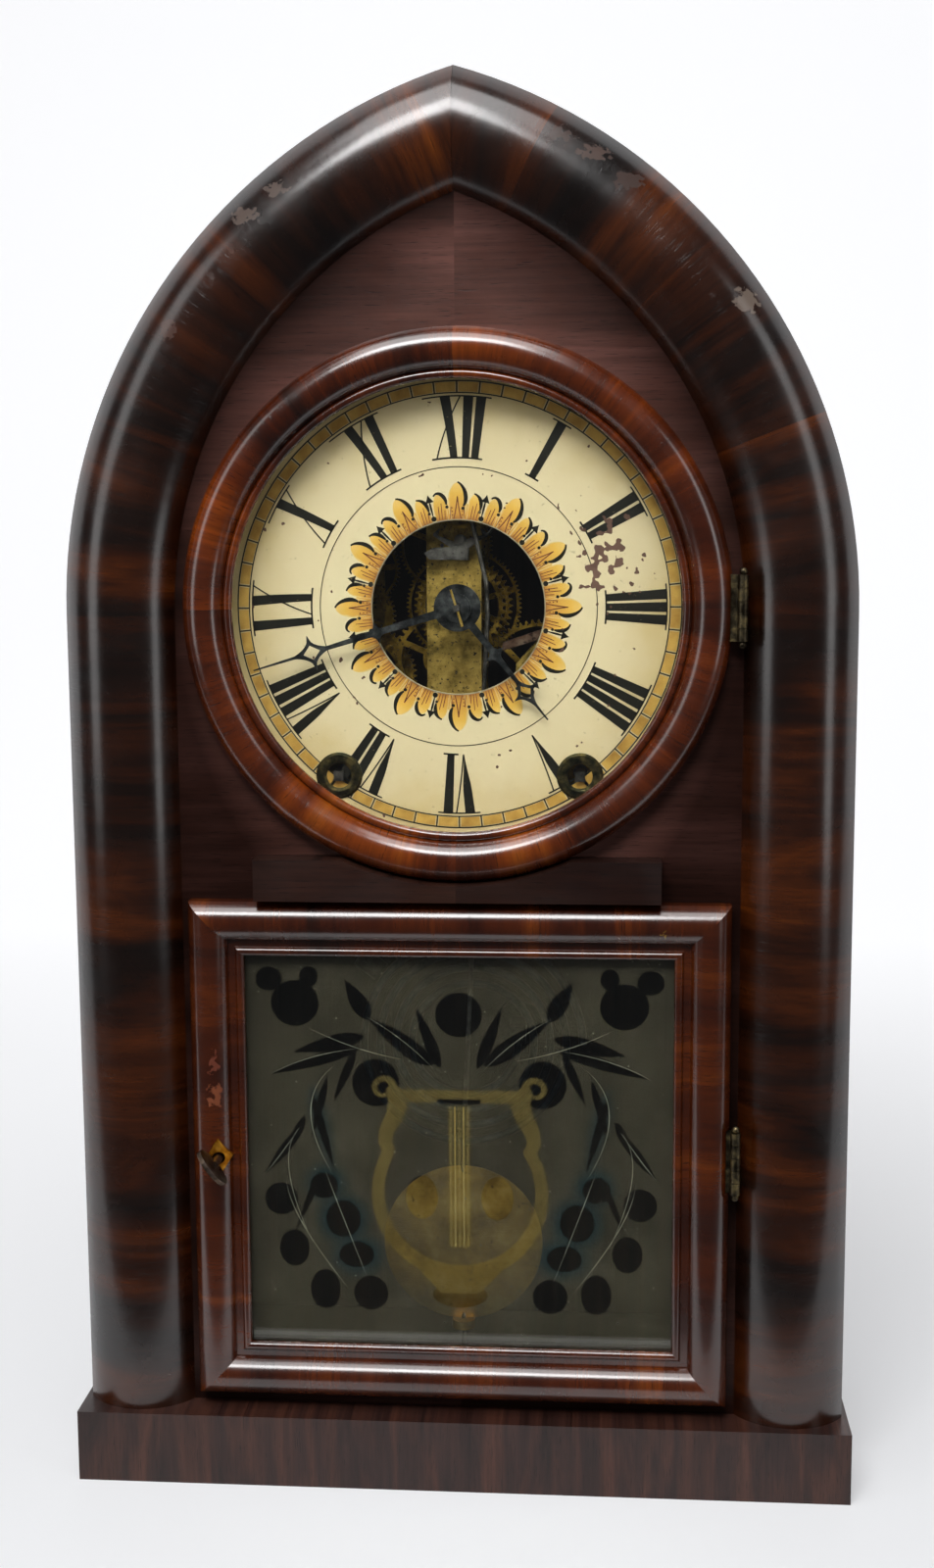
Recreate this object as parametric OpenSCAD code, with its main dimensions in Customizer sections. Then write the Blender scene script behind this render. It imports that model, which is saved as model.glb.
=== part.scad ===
// Beehive shelf clock: a pointed-arch veneered case with a round glazed upper door and a square
// lower door, over an eight-day strap-plate movement with pendulum, count-wheel strike and gong.
// X runs across the front, Y from front to back and Z up. The origin is on the floor, on the
// centre line, in the plane of the case's front edges.

/* [Case] */
// Overall height of the clock
case_h = 483; // [440:1:580]
// Width across the straight sides
case_w = 267; // [255:1:325]
// Depth of the case behind its front edges
case_d = 88; // [84:1:110]
// Height at which the straight sides meet the pointed arch
spring_z = 306; // [290:1:330]
// Thickness of the side boards and of the bent top
board_t = 7; // [5:0.5:9]
// Thickness of the backboard
back_t = 5; // [4:0.5:8]
// Thickness of the front board behind the doors
front_t = 6; // [4:0.5:6.5]

/* [Base] */
// Height of the plinth
base_h = 25.4; // [20:0.2:30]
// Plinth overhang at each side
base_side = 2; // [1:0.5:6]
// Plinth projection ahead of the case's front edges
base_front = 13.2; // [12:0.2:20]
// Wall thickness of the plinth's front
plinth_t = 19; // [16:1:24]

/* [Moulding] */
// Width of the cushion moulding
mould_w = 37.5; // [30:0.5:40]
// Height of its crest above the case's front edges
mould_rise = 10; // [6:0.5:12]

/* [Doors] */
// Gap between a door's edge and the moulding beside it
door_side_gap = 3.2; // [3:0.1:5]
// Gap between a closed door and the front board
door_back_gap = 0.3; // [0.2:0.1:0.6]
// Radius of the upper door's sight opening
sight_r = 75.3; // [72:0.1:77]
// Width of the half-round along each door frame
round_w = 13.5; // [12:0.5:14.5]
// Width of the lower door's rails, with their inner bead
rail_w = 19; // [17:0.5:22]
// Thickness of the door frames behind the half-round
frame_t = 3; // [2.5:0.1:4]
// Thickness of the door glass
glass_t = 2; // [1.5:0.1:2.2]
// Height of the block between the two doors
block_h = 14.3; // [12:0.1:18]
// Height of the lower door's foot above the plinth
door_foot = 5.2; // [3:0.1:8]
// Height of a hinge
hinge_h = 22; // [16:1:30]
// Radius of the hinge knuckles
knuckle_r = 1.7; // [1.4:0.1:2]

/* [Dial and hands] */
// Height and width of the dial plate
dial_w = 172; // [160:1:180]
// Radius of the open centre of the dial
dial_hole_r = 29.4; // [24:0.2:34]
// Length of the minute hand from the arbor to its tip
minute_len = 73; // [60:0.5:75]
// Length of the hour hand from the arbor to its tip
hour_len = 49; // [40:0.5:55]
// Minute shown by the hands at rest
rest_minute = 42.2; // [0:0.1:59.9]
// Hour shown by the hands at rest
rest_hour = 4; // [0:1:11]

/* [Movement] */
// Distance from the case's front edges to the front plate
plate_y = 22; // [21:0.5:24]
// Gap between the two plates
plate_gap = 34.4; // [34.4:0.2:36]
// Thickness of the brass plates
plate_t = 1.6; // [1.2:0.1:2]
// Distance of each winding arbor from the centre line
wind_x = 41.5; // [41:0.1:42.5]
// Depth of the winding arbors below the hand arbor
wind_drop = 57.6; // [57:0.1:58.5]
// Radial clearance of a shaft in its bearing
running_gap = 0.05; // [0.03:0.01:0.08]
// Radius of the winding holes' brass collars in the dial
collar_r = 8; // [7:0.1:9]

/* [Pendulum and gong] */
// Distance from the suspension point to the middle of the bob
pendulum_len = 277; // [268:1:282]
// Radius of the bob
bob_r = 29; // [22:0.5:32]
// Outer radius of the coiled gong
gong_r = 42; // [36:1:46]
// Radius of the gong's wire
gong_wire_r = 1.5; // [1:0.1:2]

/* [Hidden] */

$fn = 96;
eps = 0.01;

// Case, worked out from its driving sizes
half_w = case_w / 2;
arch_rise = case_h - spring_z;
arch_r = (half_w * half_w + arch_rise * arch_rise) / (2 * half_w);
arch_off = arch_r - half_w;
mould_r = (mould_w * mould_w / 4 + mould_rise * mould_rise) / (2 * mould_rise);
back_y = case_d - back_t;
board_fit = 0.2;
mitre_gap = 0.1;
block_w = 138;
plinth_wall = 10;
floor_ledge = 3;

// Openings of the front board, each a step larger than the sight opening ahead of it
round_step = 3;
door_step = 6;
door_foot_step = 11;
door_head_step = 14;
notch_w = 20;
notch_h = 31;

// Doors
centre_z = spring_z + 2;
door_half = half_w - mould_w - door_side_gap;
bezel_r = door_half - 0.8;
block_gap = 0.8;
door_top = centre_z - bezel_r - 7.8;
block_z = door_top + 1.2;
door_z = base_h + door_foot;
frame_y = -door_back_gap - frame_t;
round_sink = 0.4;
round_r = round_w / 2 + round_sink;
crest_y = frame_y + round_sink - round_r;
rebate = 4.5;
bead_r = 1.6;
lip_h = 1.5;
glass_y = frame_y + 0.2;
sight_gap = 0.4;
glazing_t = frame_t - glass_t - 0.2;
hinge_x = door_half + 2;
hinge_y = -8.2;
leaf_t = 0.7;
leaf_reach = centre_z + hinge_h / 2 - spring_z;
case_leaf_x = half_w - mould_w - leaf_reach * leaf_reach / (2 * (arch_r - mould_w)) - leaf_t - 0.05;
hinge_pin_r = 0.8;
hinge_ball_r = 1.3;
hinge_slot = 0.2;
upper_flat = bezel_r - 1.2;
upper_hinge_z = centre_z - hinge_h / 2;
lower_hinge_z = (door_z + door_top) / 2 - hinge_h / 2;
lower_w = 2 * door_half;
lower_h = door_top - door_z;

// Lock on the back of the lower door's left stile, and its key
lock_x = rail_w / 2 - door_half;
lock_z = (door_z + door_top) / 2 - 0.9;
lock_w = 10.5;
lock_left = lock_x - 6.5;
lock_h = 26;
lock_y = -2.6;
lock_d = 11.6;
lock_wall = 0.8;
lock_fit = 0.2;
bolt_t = 1.6;
bolt_h = 7;
bolt_y = front_t + 0.4;
key_r = 1.5;
key_hole_r = 2.2;
scutcheon_w = 9;
scutcheon_h = 14;
scutcheon_fit = 0.15;
scutcheon_t = 0.65;
bow_l = 14.5;
bow_w = 9;
bow_t = 1.6;
bow_turn = 142;

// Dial and hands
dial_y = 8;
dial_t = 0.7;
cleat_w = 8;
dial_screw_r = 1.1;
dial_screw_in = 12;
hour_y = 4.6;
minute_y = 2.2;
hand_t = 0.7;
hand_fit = 0.02;
minute_angle = 90 - 6 * rest_minute;
hour_angle = 90 - 30 * (rest_hour + rest_minute / 60);

// Movement: planes of the wheels, counted back from the front plate's inner face
inner_y = plate_y + plate_t;
rear_y = inner_y + plate_gap;
hour_plane = inner_y + 1.9;
minute_plane = inner_y + 4.9;
centre_plane = inner_y + 7.9;
third_plane = inner_y + 10.9;
great_plane = inner_y + 13.9;
warning_plane = inner_y + 17;
spring_y = inner_y + 16;
spring_w = 16;
click_y = great_plane + 1;
wheel_t = 1;
great_t = 1.6;
arbor_r = 1.1;
pivot_r = 0.6;
shroud_t = 0.6;
wind_r = 2.4;
barrel_r = 4.5;
pipe_r = 2.9;
centre_r = 1.7;
arbor_flat = 1.15;
stud_r = 1.2;
click_stud_r = 1;

// Plates, from the hand arbor: half widths of the foot and the head, heights of their corners
foot_w = 71;
head_w = 52;
foot_z = -92;
foot_top = -46;
waist_z = -6;
head_z = 60;

// Windows of the plates: left edge, foot, width and height
window_foot = -84;
window_h = 32;
windows = [[-31, -44, 19, 90], [-32, window_foot, 17, window_h], [10, window_foot, 21, window_h],
    [-62, window_foot, 11, window_h], [51, window_foot, 11, window_h]];
lug_h = 12;

// Wood rails behind the back plate, and the screws that hold its lugs
rail_x = 67;
rail_across = 34;
rail_foot = 96;
rail_h = 158;
screw_r = 1.2;
screw_hole_r = 1.3;
screw_head_r = 3;

// Tooth counts and modules
great_n = 72;
great_m = 0.82;
second_n = 64;
centre_n = 48;
centre_m = 0.7;
drive_n = 80;
drive_m = 0.5;
third_n = 65;
escape_n = 42;
cannon_n = 10;
minute_n = 40;
minute_m = 0.8;
minute_leaf_n = 12;
hour_n = 36;
strike_n = 78;
strike_m = 0.76;
pin_n = 64;
pin_m = 0.6;
locking_n = 56;
locking_m = 0.55;
warning_n = 48;
warning_m = 0.5;
leaf_n = 8;
warning_leaf_n = 7;
hour_m = minute_m * (cannon_n + minute_n) / (minute_leaf_n + hour_n);

// Tooth form: addendum and dedendum in modules, half widths in steps, pin radius in steps
tooth_add = 0.9;
tooth_ded = 1;
tooth_root_w = 0.33;
tooth_tip_w = 0.1;
pin_share = 0.22;

// Arbor places from the hand arbor, each at the pitch distance from the ones that it meshes
hand_at = [0, 0];
time_great_at = [wind_x, -wind_drop];
strike_great_at = [-wind_x, -wind_drop];
second_at = meet(hand_at, pitch(centre_n, second_n, centre_m),
    time_great_at, pitch(great_n, leaf_n, great_m), 1);
escape_at = [0, 38];
third_at = meet(hand_at, pitch(drive_n, leaf_n, drive_m),
    escape_at, pitch(third_n, leaf_n, drive_m), 1);
minute_at = polar(pitch(cannon_n, minute_n, minute_m), 247);
pin_at = strike_great_at + polar(pitch(strike_n, leaf_n, strike_m), 81);
locking_at = pin_at + polar(pitch(pin_n, leaf_n, pin_m), 100);
warning_at = locking_at + polar(pitch(locking_n, warning_leaf_n, locking_m), 75);
fly_at = warning_at + polar(pitch(warning_n, leaf_n, warning_m), 95);
hammer_at = [-8, -78];
count_lever_at = [-3, -62];
lever_at = [38, 4];
click_at = [14.5, 4];
lower_pillar = [wind_x + 24, -86];
upper_pillar = [45, 53];
lower_lug = [77, -74];
upper_lug = [60, 48];

// Bearing holes in both plates: each arbor's place and the radius that turns there
bearings = [[second_at, pivot_r], [third_at, pivot_r], [pin_at, pivot_r], [locking_at, pivot_r],
    [warning_at, pivot_r], [fly_at, pivot_r], [hammer_at, pivot_r], [count_lever_at, pivot_r],
    [time_great_at, wind_r], [strike_great_at, wind_r]];

// Strike work
count_r = 24;
count_hours = 12;
hammer_pins = 8;
hammer_pins_r = 15;
ratchet_n = 16;
ratchet_r = 9;
ratchet_depth = 1.4;
ratchet_gap = 0.15;

// Mainspring strip: half rings that shrink by one step each
strip_t = 0.5;
strip_w = 14.6;
spring_out_r = 27;
spring_in_r = 6;
spring_halves = 18;
spring_step = (spring_out_r - spring_in_r) / spring_halves;

// Escapement and pendulum
escape_r = 13;
escape_y = plate_y - 3;
pallet_span = 7.5;
pallet_gap = 0.46;
verge_at = escape_at - [0, escape_r / cos(pallet_span * 180 / escape_n)];
pivot_up = 50;
rod_y = plate_y - 8;
rod_r = 0.8;
bow_x = 6.5;
bow_up = 20;
bob_z = centre_z + pivot_up - pendulum_len;
bob_t = 4.5;
crutch_up = 36.5;
crutch_x = bow_x * (pivot_up - crutch_up) / (pivot_up - bow_up);
crutch_r = 0.5;

// Gong and hammer
gong_z = 140;
gong_y = case_d - back_t - 17;
gong_halves = 8;
gong_step = 3.1;
gong_end_x = gong_r - gong_halves * gong_step;
hammer_aim = 142;
head_l = 10;

// Distance between the arbors of two wheels in mesh
function pitch(n1, n2, m) = m * (n1 + n2) / 2;

function polar(r, a) = [r * cos(a), r * sin(a)];

// Direction from one arbor to another
function aim(a, b) = atan2(b[1] - a[1], b[0] - a[0]);

// Point at distance ra from a and rb from b, on the side s of the line between them
function meet(a, ra, b, rb, s) =
    let (d = norm(b - a), u = (b - a) / d, k = (ra * ra - rb * rb + d * d) / (2 * d))
    a + k * u + s * sqrt(ra * ra - k * k) * [-u[1], u[0]];

// Outline of a wheel with n teeth of module m, one space centred on the angle a0
function tooth_points(n, m, a0) = [for (k = [0 : n - 1], s = [0 : 3])
    let (top = s == 1 || s == 2,
        r = m * n / 2 + m * (top ? tooth_add : -tooth_ded),
        w = (top ? tooth_tip_w : tooth_root_w) * (s < 2 ? -1 : 1))
    polar(r, a0 + (k + 0.5 + w) * 360 / n)];

// Slender pointed teeth of the escape wheel, one tip at the angle a0
function escape_points(n, r, depth, a0) = [for (k = [0 : n - 1], s = [0 : 2])
    let (lean = [-0.34, 0, 0.12][s], out = s == 1 ? r : r - depth)
    polar(out, a0 + (k + lean) * 360 / n)];

// Half width at x of a hollow-sided four-pointed star a long and b wide to its points
function star_w(x, a, b) = abs(x) < a ? b * pow(1 - pow(abs(x) / a, 0.5), 1.6) : 0;

// Half width of a hand at x: a tapering arm that runs on as a needle, with two stars on it
function hand_w(x, run, w0, stars) = max(concat([w0 * (1 - x / run) + 0.25],
    [for (s = stars) star_w(x - s[0], s[1], s[2])]));

// Ratchet outline with n hooked teeth
function ratchet_points(n, r, depth, turn) = [for (k = [0 : n - 1], s = [0 : 1])
    polar(s == 0 ? r : r - depth, turn * (k + s * 0.08) * 360 / n)];

// Place in the front view, from the floor, of a place given from the hand arbor
function place(p) = [p[0], centre_z + p[1]];

// Centre line of a coil of half rings, from its outer end, each half ring smaller by one step
function coil_points(r, step, halves, per_half) = [for (k = [0 : halves - 1], j = [0 : per_half - 1])
    let (a = 180 * (k % 2) + 180 * j / per_half)
    [(k % 2) * -step, 0] + polar(r - k * step, a)];

// Least gap of a coil of the given thickness to itself, measured between its points
function coil_gap(points, per_half, thick) = min([for (i = [0 : len(points) - 1],
    j = [i + per_half : 1 : len(points) - 1]) norm(points[i] - points[j])]) - thick;

// Plate with its outline drawn in the front view and its front face at y
module slab(y, t)
    translate([0, y + t, 0]) rotate([90, 0, 0]) linear_extrude(height = t) children();

// Plate as above, drawn about the arbor place p
module slab_at(p, y, t)
    slab(y, t) translate(place(p)) children();

// Round bar from y0 to y1 through the point p of the front view
module bar(p, y0, y1, r)
    translate([p[0], y0, p[1]]) rotate([-90, 0, 0]) cylinder(r = r, h = y1 - y0);

// Bar as above, about an arbor place
module arbor_bar(p, y0, y1, r)
    bar(place(p), y0, y1, r);

// Revolved piece about an arbor place: radius along x, depth behind y along y
module turned(p, y)
    translate([place(p)[0], y, place(p)[1]]) rotate([-90, 0, 0]) rotate_extrude() children();

// Wire between two points
module wire(a, b, r) {
    d = b - a;
    translate(a) rotate([0, acos(d[2] / norm(d)), atan2(d[1], d[0])])
        cylinder(r = r, h = norm(d), $fn = 32);
}

// Wire along a list of points with a ball at each bend
module wire_path(points, r) {
    for (k = [0 : len(points) - 2]) wire(points[k], points[k + 1], r);
    for (k = [1 : len(points) - 2]) translate(points[k]) sphere(r = r * 1.04, $fn = 32);
}

// Case outline in the front view, drawn in from the outside by inset
module case_outline(inset, z0) {
    w = half_w - inset;
    translate([-w, z0]) square([2 * w, spring_z - z0 + eps]);
    intersection() {
        translate([-arch_off, spring_z]) circle(r = arch_r - inset, $fn = 256);
        translate([arch_off, spring_z]) circle(r = arch_r - inset, $fn = 256);
        translate([-w, spring_z]) square([2 * w, arch_rise]);
    }
}

// Cushion section: x is the distance in from the outer edge, y the height above the front edges
module cushion_section()
    intersection() {
        translate([mould_w / 2, mould_rise - mould_r]) circle(r = mould_r, $fn = 128);
        square([mould_w, mould_rise]);
    }

// Door frame section of width w: x is the distance in from the frame's outer edge, y the height
// ahead of its back; the glass lies in the rebate behind the inner bead
module frame_section(w) {
    lip_y = frame_t - 0.1;
    square([w - rebate, frame_t]);
    intersection() {
        translate([round_w / 2, frame_t - round_sink]) circle(r = round_r);
        translate([0, lip_y]) square([round_w, round_r + 1]);
    }
    translate([round_w - 1, lip_y]) square([w - round_w + 1 - bead_r, lip_h]);
    translate([w - bead_r, lip_y + 1.2]) intersection() {
        circle(r = bead_r);
        translate([-2 * bead_r, -1.2]) square(4 * bead_r);
    }
}

// Plinth and carcass

module plinth() color("#2c1712")
    difference() {
        translate([-half_w - base_side, -base_front, 0])
            cube([case_w + 2 * base_side, case_d + base_front, base_h]);
        translate([-half_w + plinth_wall, plinth_t - base_front, -1])
            cube([case_w - 2 * plinth_wall, case_d + base_front - plinth_t - plinth_wall, base_h + 2]);
        translate([-half_w + board_t / 2, plinth_t - base_front - floor_ledge, base_h - board_t])
            cube([case_w - board_t, case_d + base_front - plinth_t, board_t + 1]);
    }

module floor_board() color("#7a5a38")
    translate([-half_w + board_t / 2 + board_fit, plinth_t - base_front - floor_ledge + board_fit,
        base_h - board_t])
        cube([case_w - board_t - 2 * board_fit, case_d + base_front - plinth_t - 2 * board_fit,
            board_t]);

module side_boards() color("#3a1d12")
    for (s = [-1, 1]) translate([s * (half_w - board_t / 2) - board_t / 2, 0, base_h])
        cube([board_t, case_d, spring_z - base_h]);

module arch_top() color("#3a1d12")
    slab(0, case_d) difference() {
        case_outline(0, spring_z);
        case_outline(board_t, spring_z - 1);
    }

module backboard() color("#6b4a2c")
    slab(back_y, back_t) case_outline(board_t + board_fit, base_h);

// Front board with the round opening, the door opening and the notch for the lock
module front_board() color("#4a2415")
    slab(0, front_t) difference() {
        case_outline(board_t + board_fit, base_h);
        translate([0, centre_z]) circle(r = sight_r + round_step);
        translate([rail_w - door_half - door_step, door_z + door_foot_step])
            square([2 * (door_half - rail_w + door_step),
                door_top - door_z - door_foot_step - door_head_step]);
        translate([lock_left - 2, lock_z - notch_h / 2]) square([notch_w, notch_h]);
    }

// Cushion mouldings round the arch and down the sides

module arch_mouldings() color("#35170f")
    for (s = [0, 1]) mirror([s, 0, 0]) intersection() {
        translate([-arch_off, 0, spring_z]) rotate([90, 0, 0]) rotate_extrude(angle = 90, $fn = 256)
            translate([arch_r, 0]) mirror([1, 0]) cushion_section();
        translate([mitre_gap / 2, -mould_rise - 1, spring_z])
            cube([half_w + 1, mould_rise + 2, arch_rise + 1]);
    }

module column_mouldings() color("#35170f")
    for (s = [0, 1]) mirror([s, 0, 0]) translate([half_w, 0, base_h])
        linear_extrude(height = spring_z - base_h) mirror([0, 1]) mirror([1, 0]) cushion_section();

// Block between the doors, hollowed to follow the round door
module rail_block() color("#35170f")
    slab(-mould_rise - 1, mould_rise + 1) difference() {
        translate([-block_w / 2, block_z]) square([block_w, block_h]);
        translate([0, centre_z]) circle(r = bezel_r + block_gap, $fn = 256);
    }

// Hinges: three knuckles on the case, with the pin, and two on the door

module knuckles(z0, list)
    for (k = list) translate([hinge_x, hinge_y, z0 + k * hinge_h / 5 + 0.1])
        cylinder(r = knuckle_r, h = hinge_h / 5 - 0.2);

module hinge_case_leaves() color("#8f7434")
    for (z0 = [upper_hinge_z, lower_hinge_z]) {
        difference() {
            union() {
                knuckles(z0, [0, 2, 4]);
                translate([case_leaf_x, hinge_y, z0]) cube([leaf_t, -hinge_y, hinge_h]);
            }
            for (k = [1, 3]) translate([hinge_x, hinge_y, z0 + k * hinge_h / 5 - 0.1])
                cylinder(r = knuckle_r + 0.3, h = hinge_h / 5 + 0.2);
        }
        translate([hinge_x, hinge_y, z0 - 1]) cylinder(r = hinge_pin_r, h = hinge_h + 2);
        for (z = [z0 - 1, z0 + hinge_h + 1]) translate([hinge_x, hinge_y, z]) sphere(r = hinge_ball_r);
    }

// Door leaf: reaches back from the knuckles along the door's edge at x
module door_leaf(z0, x)
    difference() {
        union() {
            knuckles(z0, [1, 3]);
            translate([hinge_x - knuckle_r, hinge_y - leaf_t / 2, z0]) cube([leaf_t, 3, hinge_h]);
            translate([x, hinge_y + 2, z0]) cube([hinge_x - knuckle_r + leaf_t - x, leaf_t, hinge_h]);
            translate([x, hinge_y + 2, z0]) cube([leaf_t, -hinge_y - 2 - door_back_gap, hinge_h]);
        }
        for (k = [0, 2, 4]) translate([hinge_x, hinge_y, z0 + k * hinge_h / 5 - 0.1])
            cylinder(r = knuckle_r + 0.3, h = hinge_h / 5 + 0.2);
        translate([hinge_x, hinge_y, z0 - 1])
            cylinder(r = hinge_pin_r + running_gap, h = hinge_h + 2);
    }

// Upper door: turned ring with a flat let in for its hinge

module upper_door_frame() color("#4a1c12")
    difference() {
        translate([0, -door_back_gap, centre_z]) rotate([90, 0, 0]) rotate_extrude($fn = 256)
            translate([bezel_r, 0]) mirror([1, 0]) frame_section(bezel_r - sight_r);
        translate([upper_flat, -20, upper_hinge_z - hinge_slot])
            cube([10, 21, hinge_h + 2 * hinge_slot]);
    }

module upper_door_glass() color("#dfe6e2", 0.4)
    slab(glass_y, glass_t) translate([0, centre_z])
        circle(r = sight_r + rebate - sight_gap, $fn = 256);

module upper_hinge_leaf() color("#8f7434")
    door_leaf(upper_hinge_z, upper_flat + 0.05);

// Lower door: four mitred rails, each of the length run, with its outer edge at z = 0
module mitred_rail(run)
    intersection() {
        rotate([90, 0, 90]) linear_extrude(height = run) rotate(90) frame_section(rail_w);
        slab(-30, 31) polygon([[0, 0], [run, 0], [run - rail_w, rail_w], [rail_w, rail_w]]);
    }

module lower_door_frame() color("#3a1a12")
    difference() {
        translate([0, -door_back_gap, 0]) {
            translate([-door_half, 0, door_z]) mitred_rail(lower_w);
            translate([door_half, 0, door_top]) rotate([0, 180, 0]) mitred_rail(lower_w);
            translate([-door_half, 0, door_top]) rotate([0, 90, 0]) mitred_rail(lower_h);
            translate([door_half, 0, door_z]) rotate([0, -90, 0]) mitred_rail(lower_h);
        }
        translate([lock_left - lock_fit, lock_y - lock_fit, lock_z - lock_h / 2 - lock_fit])
            cube([lock_w + 2 * lock_fit, 10, lock_h + 2 * lock_fit]);
        bar([lock_x, lock_z], -20, 0, key_hole_r);
        translate([door_half - 1.2, -20, lower_hinge_z - hinge_slot])
            cube([5, 21, hinge_h + 2 * hinge_slot]);
    }

module lower_door_glass() color("#5c5b50", 0.6)
    translate([sight_gap + rail_w - rebate - door_half, glass_y, door_z + rail_w - rebate + sight_gap])
        cube([lower_w - 2 * (rail_w - rebate + sight_gap), glass_t,
            lower_h - 2 * (rail_w - rebate + sight_gap)]);

module lower_hinge_leaf() color("#8f7434")
    door_leaf(lower_hinge_z, door_half - 1.15);

// Wood strips that hold the lower glass in its rebate
module glazing_strips() color("#5a3a22") {
    z0 = door_z + rail_w - rebate + sight_gap;
    z1 = door_top - rail_w + rebate - sight_gap;
    x1 = door_half - rail_w + rebate - sight_gap;
    for (s = [-1, 1]) translate([s * (x1 - 1.5) - 1.5, -door_back_gap - glazing_t, z0])
        cube([3, glazing_t, z1 - z0]);
    for (z = [z0, z1 - 3]) translate([-x1 + 3.1, -door_back_gap - glazing_t, z])
        cube([2 * x1 - 6.2, glazing_t, 3]);
}

// Lock, its bolt, the plate round the keyhole and the key

module lock_case() color("#6f6a60")
    difference() {
        translate([lock_left, lock_y, lock_z - lock_h / 2])
            cube([lock_w, lock_d, lock_h]);
        translate([lock_left + lock_wall, lock_y + lock_wall,
            lock_z - lock_h / 2 + lock_wall])
            cube([lock_w - 2 * lock_wall, lock_d - 2 * lock_wall, lock_h - 2 * lock_wall]);
        bar([lock_x, lock_z], lock_y - 1, lock_y + 2, key_r + 0.2);
        translate([lock_left - 1, bolt_y - 0.1, lock_z + 3.9])
            cube([lock_w / 2, bolt_t + 0.2, bolt_h + 0.2]);
    }

module lock_bolt() color("#8a8274")
    translate([lock_left - 0.2, bolt_y, lock_z + 4])
        cube([lock_w - lock_wall - 0.2, bolt_t, bolt_h]);

// Diamond plate bent over the half-round, cut off ahead of the flat beside it
module escutcheon() color("#c08a28")
    intersection() {
        slab(crest_y - 1, 8) translate([lock_x, lock_z]) difference() {
            polygon([[0, -scutcheon_h / 2], [scutcheon_w / 2, 0], [0, scutcheon_h / 2],
                [-scutcheon_w / 2, 0]]);
            circle(r = key_hole_r);
        }
        translate([round_w / 2 - door_half, frame_y + round_sink, lock_z - 10]) difference() {
            cylinder(r = round_r + scutcheon_fit + scutcheon_t, h = 20);
            translate([0, 0, -1]) cylinder(r = round_r + scutcheon_fit, h = 22);
            translate([-20, -lip_h - round_sink - scutcheon_fit, -1]) cube([40, 20, 22]);
        }
    }

// Key with an oval bow, standing in the lock
module door_key() color("#a8853a") {
    bow_y = crest_y - 7;
    bar([lock_x, lock_z], bow_y - 1, bolt_y + 0.6, key_r);
    translate([lock_x, bow_y - 3, lock_z]) rotate([0, bow_turn - 90, 0])
        linear_extrude(height = bow_t, center = true) difference() {
            polygon([for (t = [0 : 15 : 345]) [bow_l / 2 * cos(t), bow_w / 2 * sin(t)]]);
            translate([0, -0.8]) circle(r = 0.8);
        }
    translate([lock_x - 0.5, bolt_y - 1.6, lock_z - 3.6]) cube([1, 2.2, 3.2]);
}

// Dial

module dial_cleats() color("#6b4a2c")
    for (s = [-1, 1]) translate([s * (dial_w / 2 - cleat_w / 2) - cleat_w / 2, front_t,
        centre_z - dial_w / 2]) cube([cleat_w, dial_y - front_t, dial_w]);

module dial_plate() color("#e2d8a6")
    slab(dial_y, dial_t) difference() {
        translate([-dial_w / 2, centre_z - dial_w / 2]) square(dial_w);
        translate([0, centre_z]) circle(r = dial_hole_r, $fn = 128);
        for (p = [time_great_at, strike_great_at]) translate(place(p)) circle(r = collar_r - 1.4);
        for (s = [-1, 1], u = [-1, 1])
            translate([s * (dial_w / 2 - cleat_w / 2), centre_z + u * (dial_w / 2 - dial_screw_in)])
                circle(r = dial_screw_r);
    }

module winding_collars() color("#6a5524")
    for (p = [time_great_at, strike_great_at]) {
        turned(p, dial_y - 0.9) polygon([[4.3, 0.3], [5.4, 0], [collar_r - 0.8, 0],
            [collar_r, 0.6], [collar_r, 0.9], [collar_r - 1.4, 0.9], [collar_r - 1.4, 2.4],
            [4.3, 2.4]]);
    }

// Hands: a boss, a tapering arm, a small solid star, a pierced star and a needle. Each star is
// given as its distance from the arbor, its half length and its half width.

hand_step = 0.75;

module hand_outline(run, w0, stars) {
    steps = floor(run / hand_step);
    x = [for (k = [0 : steps]) k * hand_step];
    difference() {
        polygon(concat([for (k = [0 : steps]) [x[k], hand_w(x[k], run, w0, stars)]],
            [for (k = [0 : steps]) [x[steps - k], -hand_w(x[steps - k], run, w0, stars)]]));
        translate([stars[1][0], 0]) polygon([[-stars[1][1] * 0.3, 0], [0, stars[1][2] * 0.42],
            [stars[1][1] * 0.3, 0], [0, -stars[1][2] * 0.42]]);
    }
}

module hour_hand() color("#3b3f45") {
    slab_at(hand_at, hour_y, hand_t) difference() {
        rotate(hour_angle) union() {
            hand_outline(hour_len, 1.3, [[20.25, 6, 4], [36.75, 9, 5]]);
            circle(r = 8);
        }
        circle(r = pipe_r + hand_fit);
    }
    turned(hand_at, hour_y + hand_t) translate([pipe_r + hand_fit, 0]) square([1.4, 1.4]);
}

module minute_hand() color("#3b3f45")
    difference() {
        union() {
            slab_at(hand_at, minute_y, hand_t) rotate(minute_angle)
                hand_outline(minute_len, 1.3, [[28.5, 6, 3.8], [51.75, 10, 6]]);
            arbor_bar(hand_at, minute_y, minute_y + hand_t, 4.8);
        }
        slab_at(hand_at, minute_y - 1, hand_t + 2) rotate(minute_angle)
            square(2 * arbor_flat, center = true);
    }

// Taper pin through the tip of the hand arbor
module hand_pin() color("#c9a648")
    pin_line() cylinder(r1 = 0.35, r2 = 0.5, h = 13);

// Frame of the taper pin: z runs along it from its thin end
module pin_line()
    translate([place(hand_at)[0], minute_y - 1, place(hand_at)[1]]) rotate([0, 180 - 17.5, 0])
        translate([0, 0, -6.5]) children();

// Movement plates: a rim and straps with windows between them

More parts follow.
